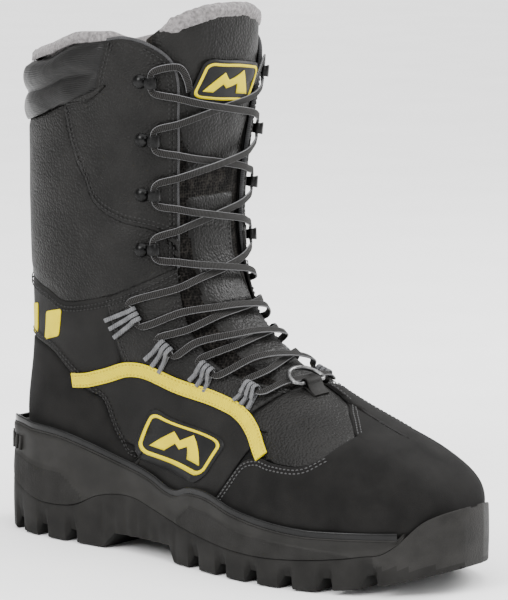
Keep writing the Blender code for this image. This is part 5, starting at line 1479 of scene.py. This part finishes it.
def d_ring():
    """The wire D at the foot of the throat, and the folded leather tab that holds its straight bar."""
    origin, across, down, outward = local_frame(*D_RING_AT, D_RING_LIFT)
    half, height = D_RING_WIDTH / 2 - D_RING_WIRE, D_RING_HEIGHT - 2 * D_RING_WIRE
    outline = [(x, 0.0) for x in np.linspace(-half + 2.4, half - 2.4, 8)]
    outline += [(half * math.cos(t), 2.0 + (height - 2.0) * math.sin(t) ** 0.8)
                for t in np.radians(np.linspace(0, 180, 25))]
    points = np.array([tuple(origin + across * x - down * y) for x, y in outline])
    loop = np.vstack([points, points[:1]])
    centres = smooth_line(loop, 140)[:-1]
    sides, ups = frames_along(centres, np.tile(np.array(outward), (len(centres), 1)), closed=True)
    circle = [(D_RING_WIRE * math.cos(t), D_RING_WIRE * math.sin(t))
              for t in np.linspace(0, 2 * math.pi, 14, endpoint=False)]
    sweep("d_ring_wire_loop", centres, sides, ups, circle, GUNMETAL, "d_ring_wire", ("d_ring",),
          closed=True)
    fold = [(9.5, -2.2), (6.0, -1.5), (2.5, 0.6), (1.4, 1.9), (0.0, 2.35), (-1.5, 1.8), (-2.35, 0.3),
            (-2.0, -1.2), (-0.8, -2.0), (3.0, -2.2), (9.5, -2.9)]
    path = smooth_line([origin + down * a + outward * h for a, h in fold], 50)
    side = np.tile(np.array(across), (50, 1))
    sweep("d_ring_tab_fold", path, side, np.cross(side, headings(path)),
          rounded_outline(12.0, 1.0, 0.4, 3), SMOOTH, nodes=("d_ring_tab",))


def pull_strap(black):
    """The webbing up the back of the shaft, sewn down at both ends and free between."""
    places = np.array(PULL_STRAP)
    line = curve([(u, 1.0) for u, _ in PULL_STRAP], 70)
    lift = np.interp(line[:, 0], places[:, 0], places[:, 1]) + 0.5
    centres = on_last(line[:, 0], line[:, 1], lift)
    sides, ups = frames_along(centres, last_normal(line[:, 0], line[:, 1]))
    sweep("pull_strap_webbing", centres, sides, ups, rounded_outline(PULL_STRAP_WIDTH, 1.3, 0.5, 3),
          BLACK_WEB, nodes=("pull_strap",), edge_uv=False)
    for u in (2.31, 2.42, 3.70, 3.80):
        black.seam([(u, 0.945), (u, 1.0), (u, 1.055)], 0.0, 1.75)


def hidden_parts():
    """Pieces inside the boot keep their CAD shape and get their own finishes."""
    for name, material in (("insole_board", BOARD), ("heel_stiffener", PLASTIC), ("toe_stiffener", PLASTIC),
                           ("shank_plate", STEEL)):
        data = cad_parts[name].data
        data.materials.clear()
        data.materials.append(material)


# ---------------------------------------------------------------- studio

def look_at(item, target):
    item.rotation_euler = (Vector(target) - item.location).to_track_quat("-Z", "Y").to_euler()


def add_to_scene(name, data):
    made = bpy.data.objects.new(name, data)
    bpy.context.scene.collection.objects.link(made)
    return made


def studio():
    """The camera, an even white surround, three soft lamps, a wide overhead sun and a pale floor."""
    camera = add_to_scene("camera", bpy.data.cameras.new("camera"))
    camera.location = CAMERA_PLACE
    look_at(camera, CAMERA_TARGET)
    camera.data.lens, camera.data.sensor_width = CAMERA_LENS, CAMERA_SENSOR
    bpy.context.scene.camera = camera
    world = bpy.data.worlds.new("studio")
    world.use_nodes = True
    background = world.node_tree.nodes["Background"]
    background.inputs["Color"].default_value = (1.0, 1.0, 1.0, 1.0)
    background.inputs["Strength"].default_value = 0.75
    bpy.context.scene.world = world
    for name, place, size, power in LAMPS:
        lamp = bpy.data.lights.new(name, "AREA")
        lamp.energy, lamp.size = power, size
        made = add_to_scene(name, lamp)
        made.location = place
        look_at(made, LAMP_TARGET)
    sky = bpy.data.lights.new("overhead", "SUN")
    sky.energy, sky.angle = 5.0, math.radians(80)
    add_to_scene("overhead", sky).rotation_euler = (math.radians(8), math.radians(-6), 0)
    mesh = bpy.data.meshes.new("floor")
    corners = [(x * FLOOR_HALF, y * FLOOR_HALF, 0) for x, y in ((-1, -1), (1, -1), (1, 1), (-1, 1))]
    mesh.from_pydata(corners, [], [(0, 1, 2, 3)])
    floor = add_to_scene("floor", mesh)
    floor.location.z = -FLOOR_DROP
    paper, tree, shader = new_material("pale_floor", 0.9, Specular_IOR_Level=0.2)
    shade = mix_colours(tree, noise(tree, place_in(tree), 120.0), (0.90, 0.90, 0.90), (0.94, 0.94, 0.94))
    tree.links.new(shade, shader.inputs["Base Color"])
    mesh.materials.append(paper)


black = Thread("stitching_black", PAINTED_HIGHLIGHT_THREAD, 0.34)
pale = Thread("stitching_grey", PALE_THREAD, 0.34)
gold = Thread("stitching_gold", YELLOW_THREAD, 0.26)
tongue_black = Thread("stitching_tongue", PAINTED_HIGHLIGHT_THREAD, 0.34)
cutter = foot_cutter()
outsole(cutter)
midsole(cutter)
bpy.data.objects.remove(cutter, do_unlink=True)
heel_ribs()
welt()
backing()
upper_panels()
seams(black, pale)
bindings()
collar()
lining()
footbed()
stripes(gold)
badges()
tongue(tongue_black)
fleece_roll()
hooks()
loops()
lace()
d_ring()
pull_strap(black)
hidden_parts()
for thread, body in ((black, "boot"), (pale, "boot"), (gold, "boot"), (tongue_black, "tongue_pad")):
    thread.finish(body)
studio()
